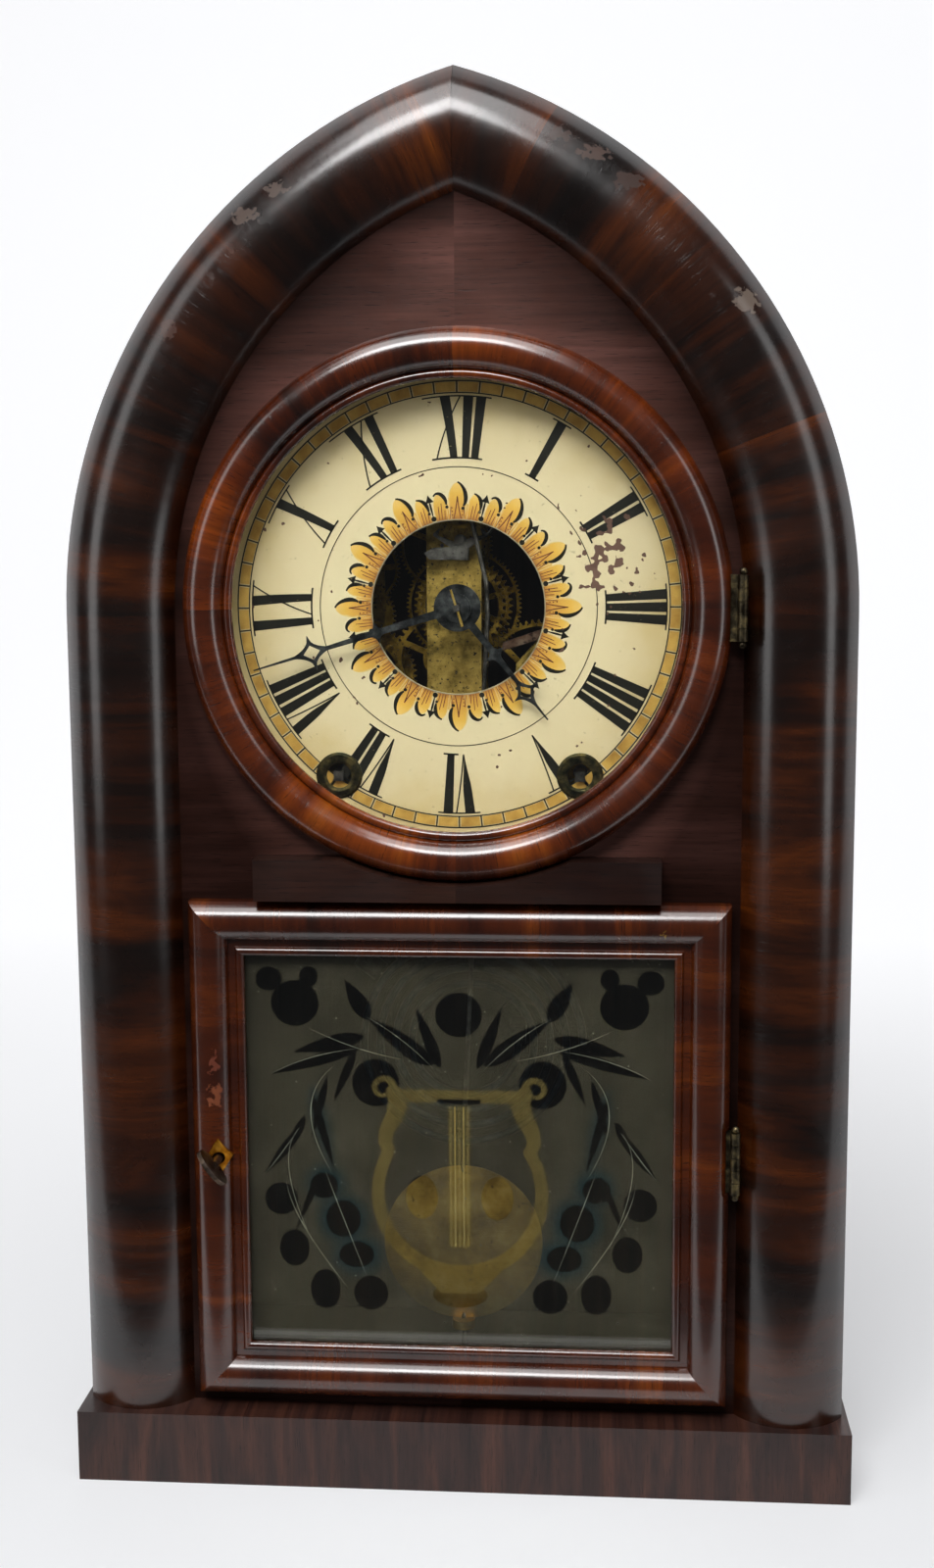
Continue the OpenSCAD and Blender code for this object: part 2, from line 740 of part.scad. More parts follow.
module plate_outline() {
    difference() {
        polygon([[-foot_w, foot_z], [foot_w, foot_z], [foot_w, foot_top], [head_w, waist_z],
            [head_w, head_z], [-head_w, head_z], [-head_w, waist_z], [-foot_w, foot_top]]);
        for (w = windows) translate([w[0], w[1]]) square([w[2], w[3]]);
        polygon([[7, -44], [19, -44], [19, -20], [32, waist_z], [32, 46], [7, 46]]);
    }
}

module front_plate() color("#9a7a38")
    slab_at(hand_at, plate_y, plate_t) difference() {
        plate_outline();
        for (b = bearings) translate(b[0]) circle(r = b[1] + running_gap);
        circle(r = pipe_r + running_gap);
        translate(escape_at) circle(r = arbor_r + running_gap);
        translate(lever_at) circle(r = arbor_r + running_gap);
        for (s = [-1, 1], p = [lower_pillar, upper_pillar]) translate([s * p[0], p[1]])
            circle(r = 1.5);
    }

module back_plate() color("#9a7a38")
    slab_at(hand_at, rear_y, plate_t) difference() {
        union() {
            plate_outline();
            for (s = [-1, 1], lug = [[lower_lug, 16], [upper_lug, 18]])
                translate([s * (lug[0][0] - 1), lug[0][1]]) square([lug[1], lug_h], center = true);
        }
        for (b = bearings) translate(b[0]) circle(r = b[1] + running_gap);
        for (p = [hand_at, escape_at, lever_at]) translate(p) circle(r = pivot_r + running_gap);
        for (s = [-1, 1], p = [lower_lug, upper_lug]) translate([s * p[0], p[1]]) circle(r = 1.8);
    }

// Pillars riveted to the back plate and pinned in front of the front plate
module plate_pillars() color("#9a7a38")
    difference() {
        for (s = [-1, 1], p = [lower_pillar, upper_pillar])
            turned([s * p[0], p[1]], inner_y) polygon([[0, -plate_t - 3], [1.2, -plate_t - 3],
                [1.4, -plate_t - 2.6], [1.4, 0], [3.2, 0], [3.2, 1.5], [2.5, 2.5],
                [2.5, plate_gap - 2.5], [3.2, plate_gap - 1.5], [3.2, plate_gap],
                [0, plate_gap]]);
        pillar_pins(0.55);
    }

module pillar_pins(r)
    for (s = [-1, 1], p = [lower_pillar, upper_pillar])
        translate([s * p[0] - 4.5, plate_y - 0.6, place(p)[1]]) rotate([0, 90, 0])
            cylinder(r = r, h = 9, $fn = 24);

module movement_rails() color("#7a5a38")
    for (s = [-1, 1])
        translate([s * rail_x - rail_across / 2, rear_y + plate_t, centre_z - rail_foot])
        difference() {
            cube([rail_across, back_y - rear_y - plate_t, rail_h]);
            for (p = [lower_lug, upper_lug])
                bar([s * p[0] - s * rail_x + rail_across / 2, rail_foot + p[1]], -1, 12, screw_hole_r);
        }

module movement_fasteners() color("#7d7a73") {
    pillar_pins(0.5);
    for (s = [-1, 1], p = [lower_lug, upper_lug]) {
        arbor_bar([s * p[0], p[1]], rear_y - 1.4, rear_y, screw_head_r);
        arbor_bar([s * p[0], p[1]], rear_y - 0.2, rear_y + plate_t + 9, screw_r);
    }
}

// Wheels and pinions

// Toothed wheel with crossed-out arms; a0 is the angle of one tooth space, rim its inner radius
module wheel(p, y, t, n, m, a0, hub, bore, arms, rim = 0)
    slab_at(p, y - t / 2, t) difference() {
        polygon(tooth_points(n, m, a0));
        crossings(rim > 0 ? rim : m * n / 2 - 2.6 * m, hub, arms, a0);
        if (bore > 0) circle(r = bore);
    }

// Openings between hub and rim, parted by straight arms
module crossings(rim, hub, arms, a0)
    if (rim - hub > 2.5) difference() {
        circle(r = rim);
        circle(r = hub);
        for (k = [0 : arms - 1]) rotate(a0 + k * 360 / arms) translate([0, -1]) square([rim + 1, 2]);
    }

// Lantern pinion: two shrouds and a ring of steel pins, one pin at the angle a0
module lantern(p, y, n, m, a0, half) {
    r = m * n / 2;
    pin = pin_share * PI * m;
    for (s = [-1, 1]) arbor_bar(p, y + s * half - (s > 0 ? 0 : shroud_t),
        y + s * half + (s > 0 ? shroud_t : 0), r + pin + 0.3);
    for (k = [0 : n - 1])
        arbor_bar(p + polar(r, a0 + k * 360 / n), y - half - eps, y + half + eps, pin);
}

// Arbor between the plates with a pivot in each
module arbor(p) {
    arbor_bar(p, inner_y + 0.3, rear_y - 0.3, arbor_r);
    arbor_bar(p, plate_y - 0.4, rear_y + plate_t + 0.4, pivot_r);
}

module second_wheel() color("#a3823c") {
    wheel(second_at, centre_plane, wheel_t, second_n, centre_m, aim(second_at, hand_at), 4, 0, 4);
    lantern(second_at, great_plane, leaf_n, great_m, aim(second_at, time_great_at), 1.3);
    arbor(second_at);
}

// Hand arbor: centre wheel, the wheel that drives the third pinion, and the cannon pinion
module centre_arbor() color("#a3823c") {
    wheel(hand_at, centre_plane, wheel_t, centre_n, centre_m,
        aim(hand_at, second_at) + 180 / centre_n, 4, 0, 4);
    wheel(hand_at, third_plane, wheel_t, drive_n, drive_m, aim(hand_at, third_at), 4, 0, 4);
    lantern(hand_at, minute_plane, cannon_n, minute_m, aim(hand_at, minute_at), 1);
    arbor_bar(hand_at, minute_y + hand_t, rear_y - 0.3, centre_r);
    arbor_bar(hand_at, rear_y - 0.4, rear_y + plate_t + 0.4, pivot_r);
    difference() {
        slab_at(hand_at, 0, minute_y + hand_t + 0.1) rotate(minute_angle)
            square(2 * (arbor_flat - running_gap), center = true);
        pin_line() cylinder(r = 0.6, h = 13);
    }
}

module third_wheel() color("#a3823c") {
    wheel(third_at, great_plane, wheel_t, third_n, drive_m, aim(third_at, escape_at), 3, 0, 4);
    lantern(third_at, third_plane, leaf_n, drive_m, aim(third_at, hand_at), 1);
    arbor(third_at);
}

// Escape wheel ahead of the front plate, its tips a quarter step off the pallets
module escape_wheel() color("#a3823c") {
    slab_at(escape_at, escape_y - 0.4, 0.8) difference() {
        polygon(escape_points(escape_n, escape_r, 1.7, 270 + (pallet_span / 2 + 0.25) * 360 / escape_n));
        crossings(escape_r - 3, 2.6, 4, 45);
    }
    lantern(escape_at, great_plane, leaf_n, drive_m, aim(escape_at, third_at), 1);
    arbor_bar(escape_at, escape_y - 1, rear_y - 0.3, arbor_r);
    arbor_bar(escape_at, rear_y - 0.4, rear_y + plate_t + 0.4, pivot_r);
}

// Verge: a steel strip with an upturned pallet at each end, on a wedge-shaped saddle that turns
// on its stud, with the crutch wire that carries the beat to the pendulum
module verge() color("#8b8a88") {
    slab_at(verge_at, escape_y - 2, 4) difference() {
        union() {
            circle(r = 2);
            polygon([[-12.4, -4.3], [-10.5, -6.5], [2.7, -6.7], [3, -2.6], [1.4, 1], [-1.4, 1],
                [-3, -2.2], [-9, -2.4]]);
            for (s = [0, 1]) mirror([s, 0]) pallet_arm();
        }
        circle(r = 0.8 + running_gap);
    }
    crutch();
}

// Right arm of the verge, about its pivot: its tip stands just outside the escape wheel's tips
module pallet_arm() {
    half = pallet_span * 180 / escape_n;
    tip = escape_at + polar(escape_r + pallet_gap, 270 + half) - verge_at;
    inward = polar(1, 90 + half);
    along = polar(1, half);
    polygon([tip + 0.05 * along, tip - 2.2 * inward + 0.8 * along,
        tip - 3 * inward + 0.5 * along, [2.4, -3], [0, -1.4], [0.6, 0.6], [1.8, -0.7],
        tip - 2.2 * inward - 0.6 * along, tip - 0.05 * along]);
}

// Crutch: a wire that arcs out to the right and back to a loop round the pendulum rod
module crutch() {
    y0 = escape_y - 1.6;
    z0 = place(verge_at)[1];
    up = place([0, crutch_up])[1];
    loop_r = rod_r + 0.4 + crutch_r * 1.2;
    wire_path([[1, y0, z0 - 0.3], [9, y0 - 1.6, z0 + 1.5], [12.5, rod_y, z0 + 5],
        [10, rod_y, up], [crutch_x + loop_r - 0.1, rod_y, up]], crutch_r);
    translate([crutch_x, rod_y, up]) rotate_extrude($fn = 48) translate([loop_r, 0])
        circle(r = crutch_r * 1.2, $fn = 24);
}

module minute_wheel() color("#a3823c")
    difference() {
        union() {
            wheel(minute_at, minute_plane, wheel_t, minute_n, minute_m, aim(minute_at, hand_at), 4,
                0, 4);
            lantern(minute_at, hour_plane, minute_leaf_n, hour_m, aim(minute_at, hand_at), 0.8);
            arbor_bar(minute_at, hour_plane - 1.4, minute_plane + 1, 2.2);
        }
        arbor_bar(minute_at, hour_plane - 2, minute_plane + 2, stud_r + running_gap);
    }

module hour_wheel() color("#a3823c") {
    wheel(hand_at, hour_plane, wheel_t, hour_n, hour_m, aim(hand_at, minute_at), pipe_r + 1,
        centre_r + running_gap, 4);
    difference() {
        arbor_bar(hand_at, hour_y, hour_plane + 0.9, pipe_r);
        arbor_bar(hand_at, hour_y - 1, hour_plane + 2, centre_r + running_gap);
    }
}

// Winding works: a square-ended arbor with its ratchet, and the great wheel that turns on it

module winding_arbor(p, turn) {
    arbor_bar(p, plate_y - 4, rear_y + plate_t + 0.6, wind_r);
    slab_at(p, dial_y - 2, plate_y - 4 - dial_y + 2.1) square(3.4, center = true);
    slab_at(p, great_plane + great_t / 2 + 0.3, 1.6)
        polygon(ratchet_points(ratchet_n, ratchet_r, ratchet_depth, turn));
    arbor_bar(p, spring_y + 1, spring_y + spring_w, barrel_r);
}

module time_winding_arbor() color("#8d8c8a") winding_arbor(time_great_at, 1);

module strike_winding_arbor() color("#8d8c8a") winding_arbor(strike_great_at, -1);

// Click that swings on a stud of the great wheel, its nose just off the ratchet's tips
module click(s)
    mirror([s < 0 ? 1 : 0, 0]) difference() {
        union() {
            translate(click_at) circle(r = 2.4);
            polygon([[ratchet_r + ratchet_gap, 0.2], [ratchet_r + 0.8, -1],
                click_at + [1.8, -1.6], click_at + [-1.6, 1.8]]);
        }
        translate(click_at) circle(r = click_stud_r + running_gap);
    }

module time_click() color("#8d8c8a") slab_at(time_great_at, click_y, 1.7) click(1);

module strike_click() color("#8d8c8a") slab_at(strike_great_at, click_y, 1.7) click(-1);

// Stud of a click, with its head
module click_stud(p, s) {
    q = p + [s * click_at[0], click_at[1]];
    arbor_bar(q, great_plane, click_y + 1.9, click_stud_r);
    arbor_bar(q, click_y + 1.9, click_y + 2.3, 1.6);
}

module time_great_wheel() color("#a3823c") {
    wheel(time_great_at, great_plane, great_t, great_n, great_m, aim(time_great_at, second_at),
        18, wind_r + running_gap, 5);
    click_stud(time_great_at, 1);
}

// Strike great wheel with the count wheel ahead of it
module strike_great_wheel() color("#a3823c") {
    wheel(strike_great_at, great_plane, great_t, strike_n, strike_m,
        aim(strike_great_at, pin_at), 18, wind_r + running_gap, 5);
    difference() {
        arbor_bar(strike_great_at, third_plane - wheel_t / 2, great_plane, 5);
        arbor_bar(strike_great_at, third_plane - 2, great_plane + 2, wind_r + running_gap);
    }
    click_stud(strike_great_at, -1);
    slab_at(strike_great_at, third_plane - wheel_t / 2, wheel_t) difference() {
        circle(r = count_r);
        for (h = [1 : count_hours]) rotate(-360 * (h * (h + 1) / 2) / strike_n)
            translate([count_r - 2.4, -0.7]) square([4, 1.4]);
        crossings(count_r - 5, 6, 4, 20);
        circle(r = wind_r + running_gap);
    }
}

// Mainspring: a coil of strip of half rings on two centres, with a tongue at the winding arbor
// and a tail that loops round the lower pillar
module mainspring(p, s) {
    tail = lower_pillar - [wind_x, -wind_drop];
    translate([place(p)[0], spring_y + 1.2 + strip_w, place(p)[1]]) mirror([s < 0 ? 1 : 0, 0])
        rotate([90, 0, 0]) {
            for (k = [0 : spring_halves - 1]) translate([(k % 2) * -spring_step, 0, 0])
                strip_arc(spring_out_r - k * spring_step, 180 * (k % 2), 180);
            translate([barrel_r + 0.1, -0.8, 0]) cube([spring_in_r - barrel_r - 0.1, 0.6, strip_w]);
            translate([spring_out_r - strip_t / 2, tail[1], 0]) cube([strip_t, -tail[1], strip_w]);
            translate([tail[0], tail[1], 0]) strip_arc(spring_out_r - tail[0], 90, 270);
        }
}

// Part ring of strip from the angle a0 through turn degrees
module strip_arc(r, a0, turn)
    rotate([0, 0, a0]) rotate_extrude(angle = turn) translate([r - strip_t / 2, 0])
        square([strip_t, strip_w]);

module time_mainspring() color("#5e6472") mainspring(time_great_at, 1);

module strike_mainspring() color("#5e6472") mainspring(strike_great_at, -1);

// Strike train

module pin_wheel() color("#a3823c") {
    wheel(pin_at, centre_plane, wheel_t, pin_n, pin_m, aim(pin_at, locking_at), 4, 0, 4,
        hammer_pins_r - 1.8);
    lantern(pin_at, great_plane, leaf_n, strike_m, aim(pin_at, strike_great_at), 1.3);
    for (k = [1 : hammer_pins]) arbor_bar(pin_at + polar(hammer_pins_r, k * 360 / hammer_pins),
        centre_plane - 2.2, centre_plane, 0.6);
    arbor(pin_at);
}

module locking_wheel() color("#a3823c") {
    wheel(locking_at, third_plane, wheel_t, locking_n, locking_m, aim(locking_at, warning_at), 3,
        0, 4, 12);
    lantern(locking_at, centre_plane, leaf_n, pin_m, aim(locking_at, pin_at), 1);
    arbor_bar(locking_at + polar(13, 30), third_plane, third_plane + 2.2, 0.5);
    arbor(locking_at);
}

module warning_wheel() color("#a3823c") {
    wheel(warning_at, warning_plane, wheel_t, warning_n, warning_m, aim(warning_at, fly_at), 3,
        0, 4);
    lantern(warning_at, third_plane, warning_leaf_n, locking_m, aim(warning_at, locking_at), 1);
    arbor_bar(warning_at + polar(11, 200), warning_plane, warning_plane + 2.2, 0.4);
    arbor(warning_at);
}

module fly() color("#a3823c") {
    lantern(fly_at, warning_plane, leaf_n, warning_m, aim(fly_at, warning_at), 1);
    arbor(fly_at);
    slab_at(fly_at, warning_plane + 4, 12) rotate(30) square([22, 0.6], center = true);
    arbor_bar(fly_at, warning_plane + 4, warning_plane + 16, 1.6);
}

// Hammer: a tail under the pin wheel's pins and a long wire down to its head beside the gong
module hammer() color("#8d8c8a") {
    tail = norm(pin_at - hammer_at) - hammer_pins_r - 0.9;
    head = hammer_head();
    root = [place(hammer_at)[0], spring_y + spring_w + 1.1, place(hammer_at)[1]];
    arbor(hammer_at);
    slab_at(hammer_at, centre_plane - 2.2, 1) rotate(aim(hammer_at, pin_at))
        polygon([[0, -2], [0, 2], [tail, 0.8], [tail, -0.8]]);
    arbor_bar(hammer_at, centre_plane - 3, centre_plane, 2.4);
    arbor_bar(hammer_at, root[1] - 1.2, root[1] + 1, 2.2);
    wire_path([root, [root[0], root[1], root[2] - 23], [root[0] - 4, head[1], root[2] - 31],
        head], 0.8);
    translate(head) rotate([0, 90 - hammer_aim, 0])
        cylinder(r = 4, h = head_l, center = true);
}

// Middle of the hammer's head, its face 1.2 mm off the gong
function hammer_head() = let (r = gong_r + gong_wire_r + 1.2 + head_l / 2)
    [r * cos(hammer_aim), gong_y, gong_z + r * sin(hammer_aim)];

// Lever whose blade stands at the edge of the count wheel
module count_lever() color("#6d5f55") {
    reach = norm(strike_great_at - count_lever_at) - count_r - 0.5;
    arbor(count_lever_at);
    arbor_bar(count_lever_at, third_plane - 1, third_plane + 1, 2.4);
    slab_at(count_lever_at, third_plane - 0.5, 1)
        rotate(aim(count_lever_at, strike_great_at))
        polygon([[0, -2], [0, 2], [reach, 0.6], [reach, -0.6]]);
}

// Steel lever of the strike work, crossing beside the hand arbor
module lifting_lever() color("#6d5f55") {
    arbor_bar(lever_at, plate_y - 2.4, rear_y - 0.3, arbor_r);
    arbor_bar(lever_at, rear_y - 0.4, rear_y + plate_t + 0.4, pivot_r);
    slab_at(hand_at, plate_y - 2.4, 1.4) {
        polygon([[14, -15.4], [14.6, -12.4], [29, -7.6], [29.8, 5.6], [38, 6.4], [40, 4],
            [38, 1.8], [32.6, 1.4], [32, -10]]);
        translate(lever_at) circle(r = 2.6);
    }
}

// Pendulum

// Split post on the front plate that holds the suspension spring, and the studs of the verge
// and the minute wheel
module suspension_post() color("#8b7a4a") {
    difference() {
        union() {
            arbor_bar([0, pivot_up + 3.5], rod_y - 2.5, rod_y + 2.5, 3);
            arbor_bar([0, pivot_up + 6.5], rod_y + 1, plate_y, 2.2);
        }
        translate([-5, rod_y - 0.3, place([0, pivot_up])[1]]) cube([10, 0.6, 5]);
    }
    arbor_bar(verge_at, escape_y - 2.4, plate_y, 0.8);
    arbor_bar(verge_at, escape_y - 2.9, escape_y - 2.4, 1.5);
    arbor_bar(minute_at, inner_y, minute_plane + 1.6, stud_r);
}

module pendulum_rod() color("#8b8a88") {
    top = place([0, pivot_up])[1];
    joint_z = bob_z + bob_r + 3;
    wire_path([[0, rod_y, top - 0.8], [bow_x, rod_y, place([0, bow_up])[1]],
        [9.3, rod_y, place([0, 8])[1]], [9.6, rod_y, place([0, -3])[1]],
        [0, rod_y, joint_z], [0, rod_y, bob_z - bob_r - 14]], rod_r);
    translate([-2, rod_y - 0.15, top - 2]) cube([4, 0.3, 5.5]);
}

// Lens-shaped bob, bored for the rod
module pendulum_bob() color("#b58f3f") {
    lens_r = (bob_r * bob_r + bob_t * bob_t) / (2 * bob_t);
    difference() {
        intersection() {
            translate([0, rod_y - lens_r + bob_t, bob_z]) sphere(r = lens_r, $fn = 200);
            translate([0, rod_y + lens_r - bob_t, bob_z]) sphere(r = lens_r, $fn = 200);
            bar([0, bob_z], rod_y - bob_t, rod_y + bob_t, bob_r - 0.6);
        }
        translate([0, rod_y, bob_z - bob_r - 1])
            cylinder(r = rod_r + running_gap, h = 2 * bob_r + 2);
    }
}

module rating_nut() color("#b58f3f")
    translate([0, rod_y, bob_z - bob_r - 2.6]) difference() {
        cylinder(r = 4, h = 3);
        translate([0, 0, -1]) cylinder(r = rod_r + running_gap, h = 6);
    }

// Coiled gong of half turns, each a little smaller than the last, and its stand

module gong_coil() color("#56606b")
    translate([0, gong_y, gong_z]) {
        rotate([90, 0, 0]) for (k = [0 : gong_halves - 1])
            translate([(k % 2) * -gong_step, 0, 0]) rotate([0, 0, 180 * (k % 2)])
                rotate_extrude(angle = 180) translate([gong_r - k * gong_step, 0])
                    circle(r = gong_wire_r, $fn = 32);
        translate([gong_end_x, 0, 0]) cylinder(r = gong_wire_r, h = 6, $fn = 32);
    }

// Block that grips the gong's inner end, on a post and a round foot at the backboard
module gong_stand() color("#4a4a4c") {
    difference() {
        translate([gong_end_x - 3, gong_y - 3.5, gong_z + 1])
            cube([6, back_y - gong_y + 0.5, 6]);
        translate([gong_end_x, gong_y, gong_z]) cylinder(r = gong_wire_r, h = 6, $fn = 32);
    }
    bar([gong_end_x, gong_z + 4], back_y - 3, back_y, 9);
}

// Least gaps of the wound pieces to themselves, printed by the build
gap_steps = 24;
echo(mainspring_gap = coil_gap(coil_points(spring_out_r, spring_step, spring_halves, gap_steps),
    gap_steps, strip_t));
echo(gong_gap = coil_gap(coil_points(gong_r, gong_step, gong_halves, gap_steps),
    gap_steps, 2 * gong_wire_r));

plinth();
floor_board();
side_boards();
arch_top();
backboard();
front_board();
arch_mouldings();
column_mouldings();
rail_block();
hinge_case_leaves();
upper_door_frame();
upper_door_glass();
upper_hinge_leaf();
lower_door_frame();
lower_door_glass();
lower_hinge_leaf();
glazing_strips();
lock_case();
lock_bolt();
escutcheon();
door_key();
dial_cleats();
dial_plate();
winding_collars();
hour_hand();
minute_hand();
hand_pin();
front_plate();
back_plate();
plate_pillars();
movement_rails();
movement_fasteners();
time_great_wheel();
time_winding_arbor();
time_click();
time_mainspring();
second_wheel();
centre_arbor();
third_wheel();
escape_wheel();
verge();
minute_wheel();
hour_wheel();
suspension_post();
pendulum_rod();
pendulum_bob();
rating_nut();
strike_great_wheel();
strike_winding_arbor();
strike_click();
strike_mainspring();
pin_wheel();
locking_wheel();
warning_wheel();
fly();
hammer();
count_lever();
lifting_lever();
gong_coil();
gong_stand();
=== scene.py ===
import bpy
import numpy as np
from mathutils import Matrix, Vector


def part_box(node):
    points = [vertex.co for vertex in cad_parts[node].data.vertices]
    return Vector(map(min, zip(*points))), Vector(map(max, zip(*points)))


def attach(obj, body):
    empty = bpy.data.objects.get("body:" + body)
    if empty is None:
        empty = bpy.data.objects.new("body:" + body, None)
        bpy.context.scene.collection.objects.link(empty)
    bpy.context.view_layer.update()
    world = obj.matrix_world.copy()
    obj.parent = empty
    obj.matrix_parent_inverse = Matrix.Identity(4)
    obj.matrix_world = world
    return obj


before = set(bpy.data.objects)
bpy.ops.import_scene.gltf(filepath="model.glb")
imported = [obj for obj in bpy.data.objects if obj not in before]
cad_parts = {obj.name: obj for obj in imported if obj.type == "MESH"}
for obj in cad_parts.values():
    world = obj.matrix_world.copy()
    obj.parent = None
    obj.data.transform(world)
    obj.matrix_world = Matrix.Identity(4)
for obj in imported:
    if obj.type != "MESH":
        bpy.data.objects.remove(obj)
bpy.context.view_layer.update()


# The photograph's view. The clock stands on a white sweep, seen from a little to its right and
# slightly above, with the camera about 0.6 m away, which is why the moulding looks so deep.

PHOTO_H, FOCAL_PX = 1600, 1848.6
SENSOR_MM = 36
EYE = (0.0498, -0.6087, 0.3281)
YAW, PITCH, ROLL = -0.0763, -0.1296, -0.0057


def look(yaw, pitch, roll):
    """Rotation whose columns are the camera's right, up and backward directions."""
    forward = Vector((np.sin(yaw) * np.cos(pitch), np.cos(yaw) * np.cos(pitch), np.sin(pitch)))
    level = Vector((np.cos(yaw), -np.sin(yaw), 0))
    rise = level.cross(forward)
    right = np.cos(roll) * level + np.sin(roll) * rise
    up = -np.sin(roll) * level + np.cos(roll) * rise
    return Matrix((right, up, -forward)).transposed()


camera_data = bpy.data.cameras.new("photo_camera")
camera_data.sensor_width = SENSOR_MM
camera_data.lens = FOCAL_PX / PHOTO_H * SENSOR_MM
camera_data.clip_start = 0.01
camera = bpy.data.objects.new("photo_camera", camera_data)
camera.matrix_world = Matrix.Translation(EYE) @ look(YAW, PITCH, ROLL).to_4x4()
scene = bpy.context.scene
scene.collection.objects.link(camera)
scene.camera = camera
scene.view_settings.view_transform = "Standard"


# The sweep: a pale paper floor that runs on into white, under a big soft window above and ahead
# and two weaker ones at the sides, which draw the long streaks down the rounded mouldings. Mirrors
# and glass see the white only beyond the clock, since the room ahead of it is dim.

ROOM_LIGHT, WHITE_LIGHT = 0.07, 1.0
FLOOR_EDGE, APRON_EDGE, HALF_WIDE = -0.12, -4.5, 1.6
BEND_Y, BEND_R, WALL_TOP = 0.9, 0.6, 2.6
GLOW_RISE, FLOOR_GLOW, WALL_GLOW = 0.36, 0.36, 0.75


def linear(colour):
    """Turns an sRGB hex colour into linear RGBA: each channel is divided by 12.92 where dark, and
    otherwise shifted, scaled and raised to 2.4."""
    c = np.array([int(colour[k : k + 2], 16) for k in (1, 3, 5)]) / 255
    c = np.where(c <= 0.04045, c / 12.92, ((c + 0.055) / 1.055) ** 2.4)
    return (*c.tolist(), 1.0)


def put(mat, kind, inputs=(), **settings):
    """Adds a node of this kind, or takes the node given: makes its settings, then gives each input
    a value or a link. The inputs are a list in their order, or a dictionary by name or number. A
    node given as a value stands for its first output in use."""
    node = mat.node_tree.nodes.new("ShaderNode" + kind) if isinstance(kind, str) else kind
    for name, value in settings.items():
        setattr(node, name, value)
    for name, value in inputs.items() if isinstance(inputs, dict) else enumerate(inputs):
        if isinstance(value, bpy.types.Node):
            value = next(out for out in value.outputs if out.enabled)
        if isinstance(value, bpy.types.NodeSocket):
            mat.node_tree.links.new(value, node.inputs[name])
        else:
            node.inputs[name].default_value = value
    return node


world = bpy.data.worlds.new("white_room")
scene.world = world
world.use_nodes = True
world.node_tree.nodes.clear()
path = put(world, "LightPath").outputs
way = put(world, "SeparateXYZ", [put(world, "TexCoord").outputs["Generated"]]).outputs["Y"]
beyond = put(world, "Math", [way, 0.0], operation="GREATER_THAN")
through = path["Is Transmission Ray"]
mirrored = put(world, "Math", [path["Is Glossy Ray"], through], operation="MAXIMUM")
mirrored = put(world, "Math", [mirrored, beyond], operation="MULTIPLY")
seen = put(world, "Math", [path["Is Camera Ray"], mirrored], operation="MAXIMUM")
room = put(world, "Background", [linear("#e9ecf2"), ROOM_LIGHT])
white = put(world, "Background", [linear("#fafafc"), WHITE_LIGHT])
put(world, "OutputWorld", [put(world, "MixShader", [seen, room, white])])


def material(name):
    """Starts a material with its output and an empty shader, and returns both."""
    mat = bpy.data.materials.new(name)
    mat.use_nodes = True
    mat.node_tree.nodes.clear()
    out = mat.node_tree.nodes.new("ShaderNodeOutputMaterial")
    shader = mat.node_tree.nodes.new("ShaderNodeBsdfPrincipled")
    mat.node_tree.links.new(shader.outputs[0], out.inputs[0])
    return mat, shader


def show(mat, closure):
    """Gives the material's output this closure in place of the plain shader."""
    put(mat, next(n for n in mat.node_tree.nodes if n.type == "OUTPUT_MATERIAL"), [closure])


def set_stops(ramp, steps, colours):
    """Sets the stops of a colour ramp, one colour at each step, and returns the ramp."""
    stops = ramp.color_ramp.elements
    for k, (step, colour) in enumerate(zip(steps, colours)):
        stop = stops[k] if k < 2 else stops.new(step)
        stop.position, stop.color = step, linear(colour)
    return ramp


def axes(mat):
    """X, Y and Z of the shaded point, in metres."""
    return put(mat, "SeparateXYZ", [put(mat, "TexCoord").outputs["Object"]]).outputs


def every(mm):
    """Scale of a pattern that repeats at about so many millimetres: how often it does in a metre."""
    return 1000 / mm


def surface(name, points, faces, mat, smooth=True):
    """Makes a mesh object of this material from an array of points and an array of faces."""
    mesh = bpy.data.meshes.new(name)
    mesh.from_pydata(np.asarray(points, float).reshape(-1, 3).tolist(), [], faces.tolist())
    mesh.polygons.foreach_set("use_smooth", np.full(len(mesh.polygons), smooth))
    mesh.materials.append(mat)
    mesh.update()
    obj = bpy.data.objects.new(name, mesh)
    scene.collection.objects.link(obj)
    return obj


def grid_faces(rows, cols, wrap_rows=False):
    """Quads of a grid of rows by cols points, its last row joined to the first where it wraps."""
    r, c = np.meshgrid(np.arange(rows if wrap_rows else rows - 1), np.arange(cols - 1), indexing="ij")
    r2 = (r + 1) % rows
    return np.stack([r * cols + c, r * cols + c + 1, r2 * cols + c + 1, r2 * cols + c], -1).reshape(-1, 4)


def carried(profile, across):
    """Grid of points: a side view profile of Y and Z, carried over the given places in X."""
    grid = np.empty((len(profile), len(across), 3))
    grid[..., 0] = across
    grid[..., 1:] = np.asarray(profile)[:, None]
    return grid


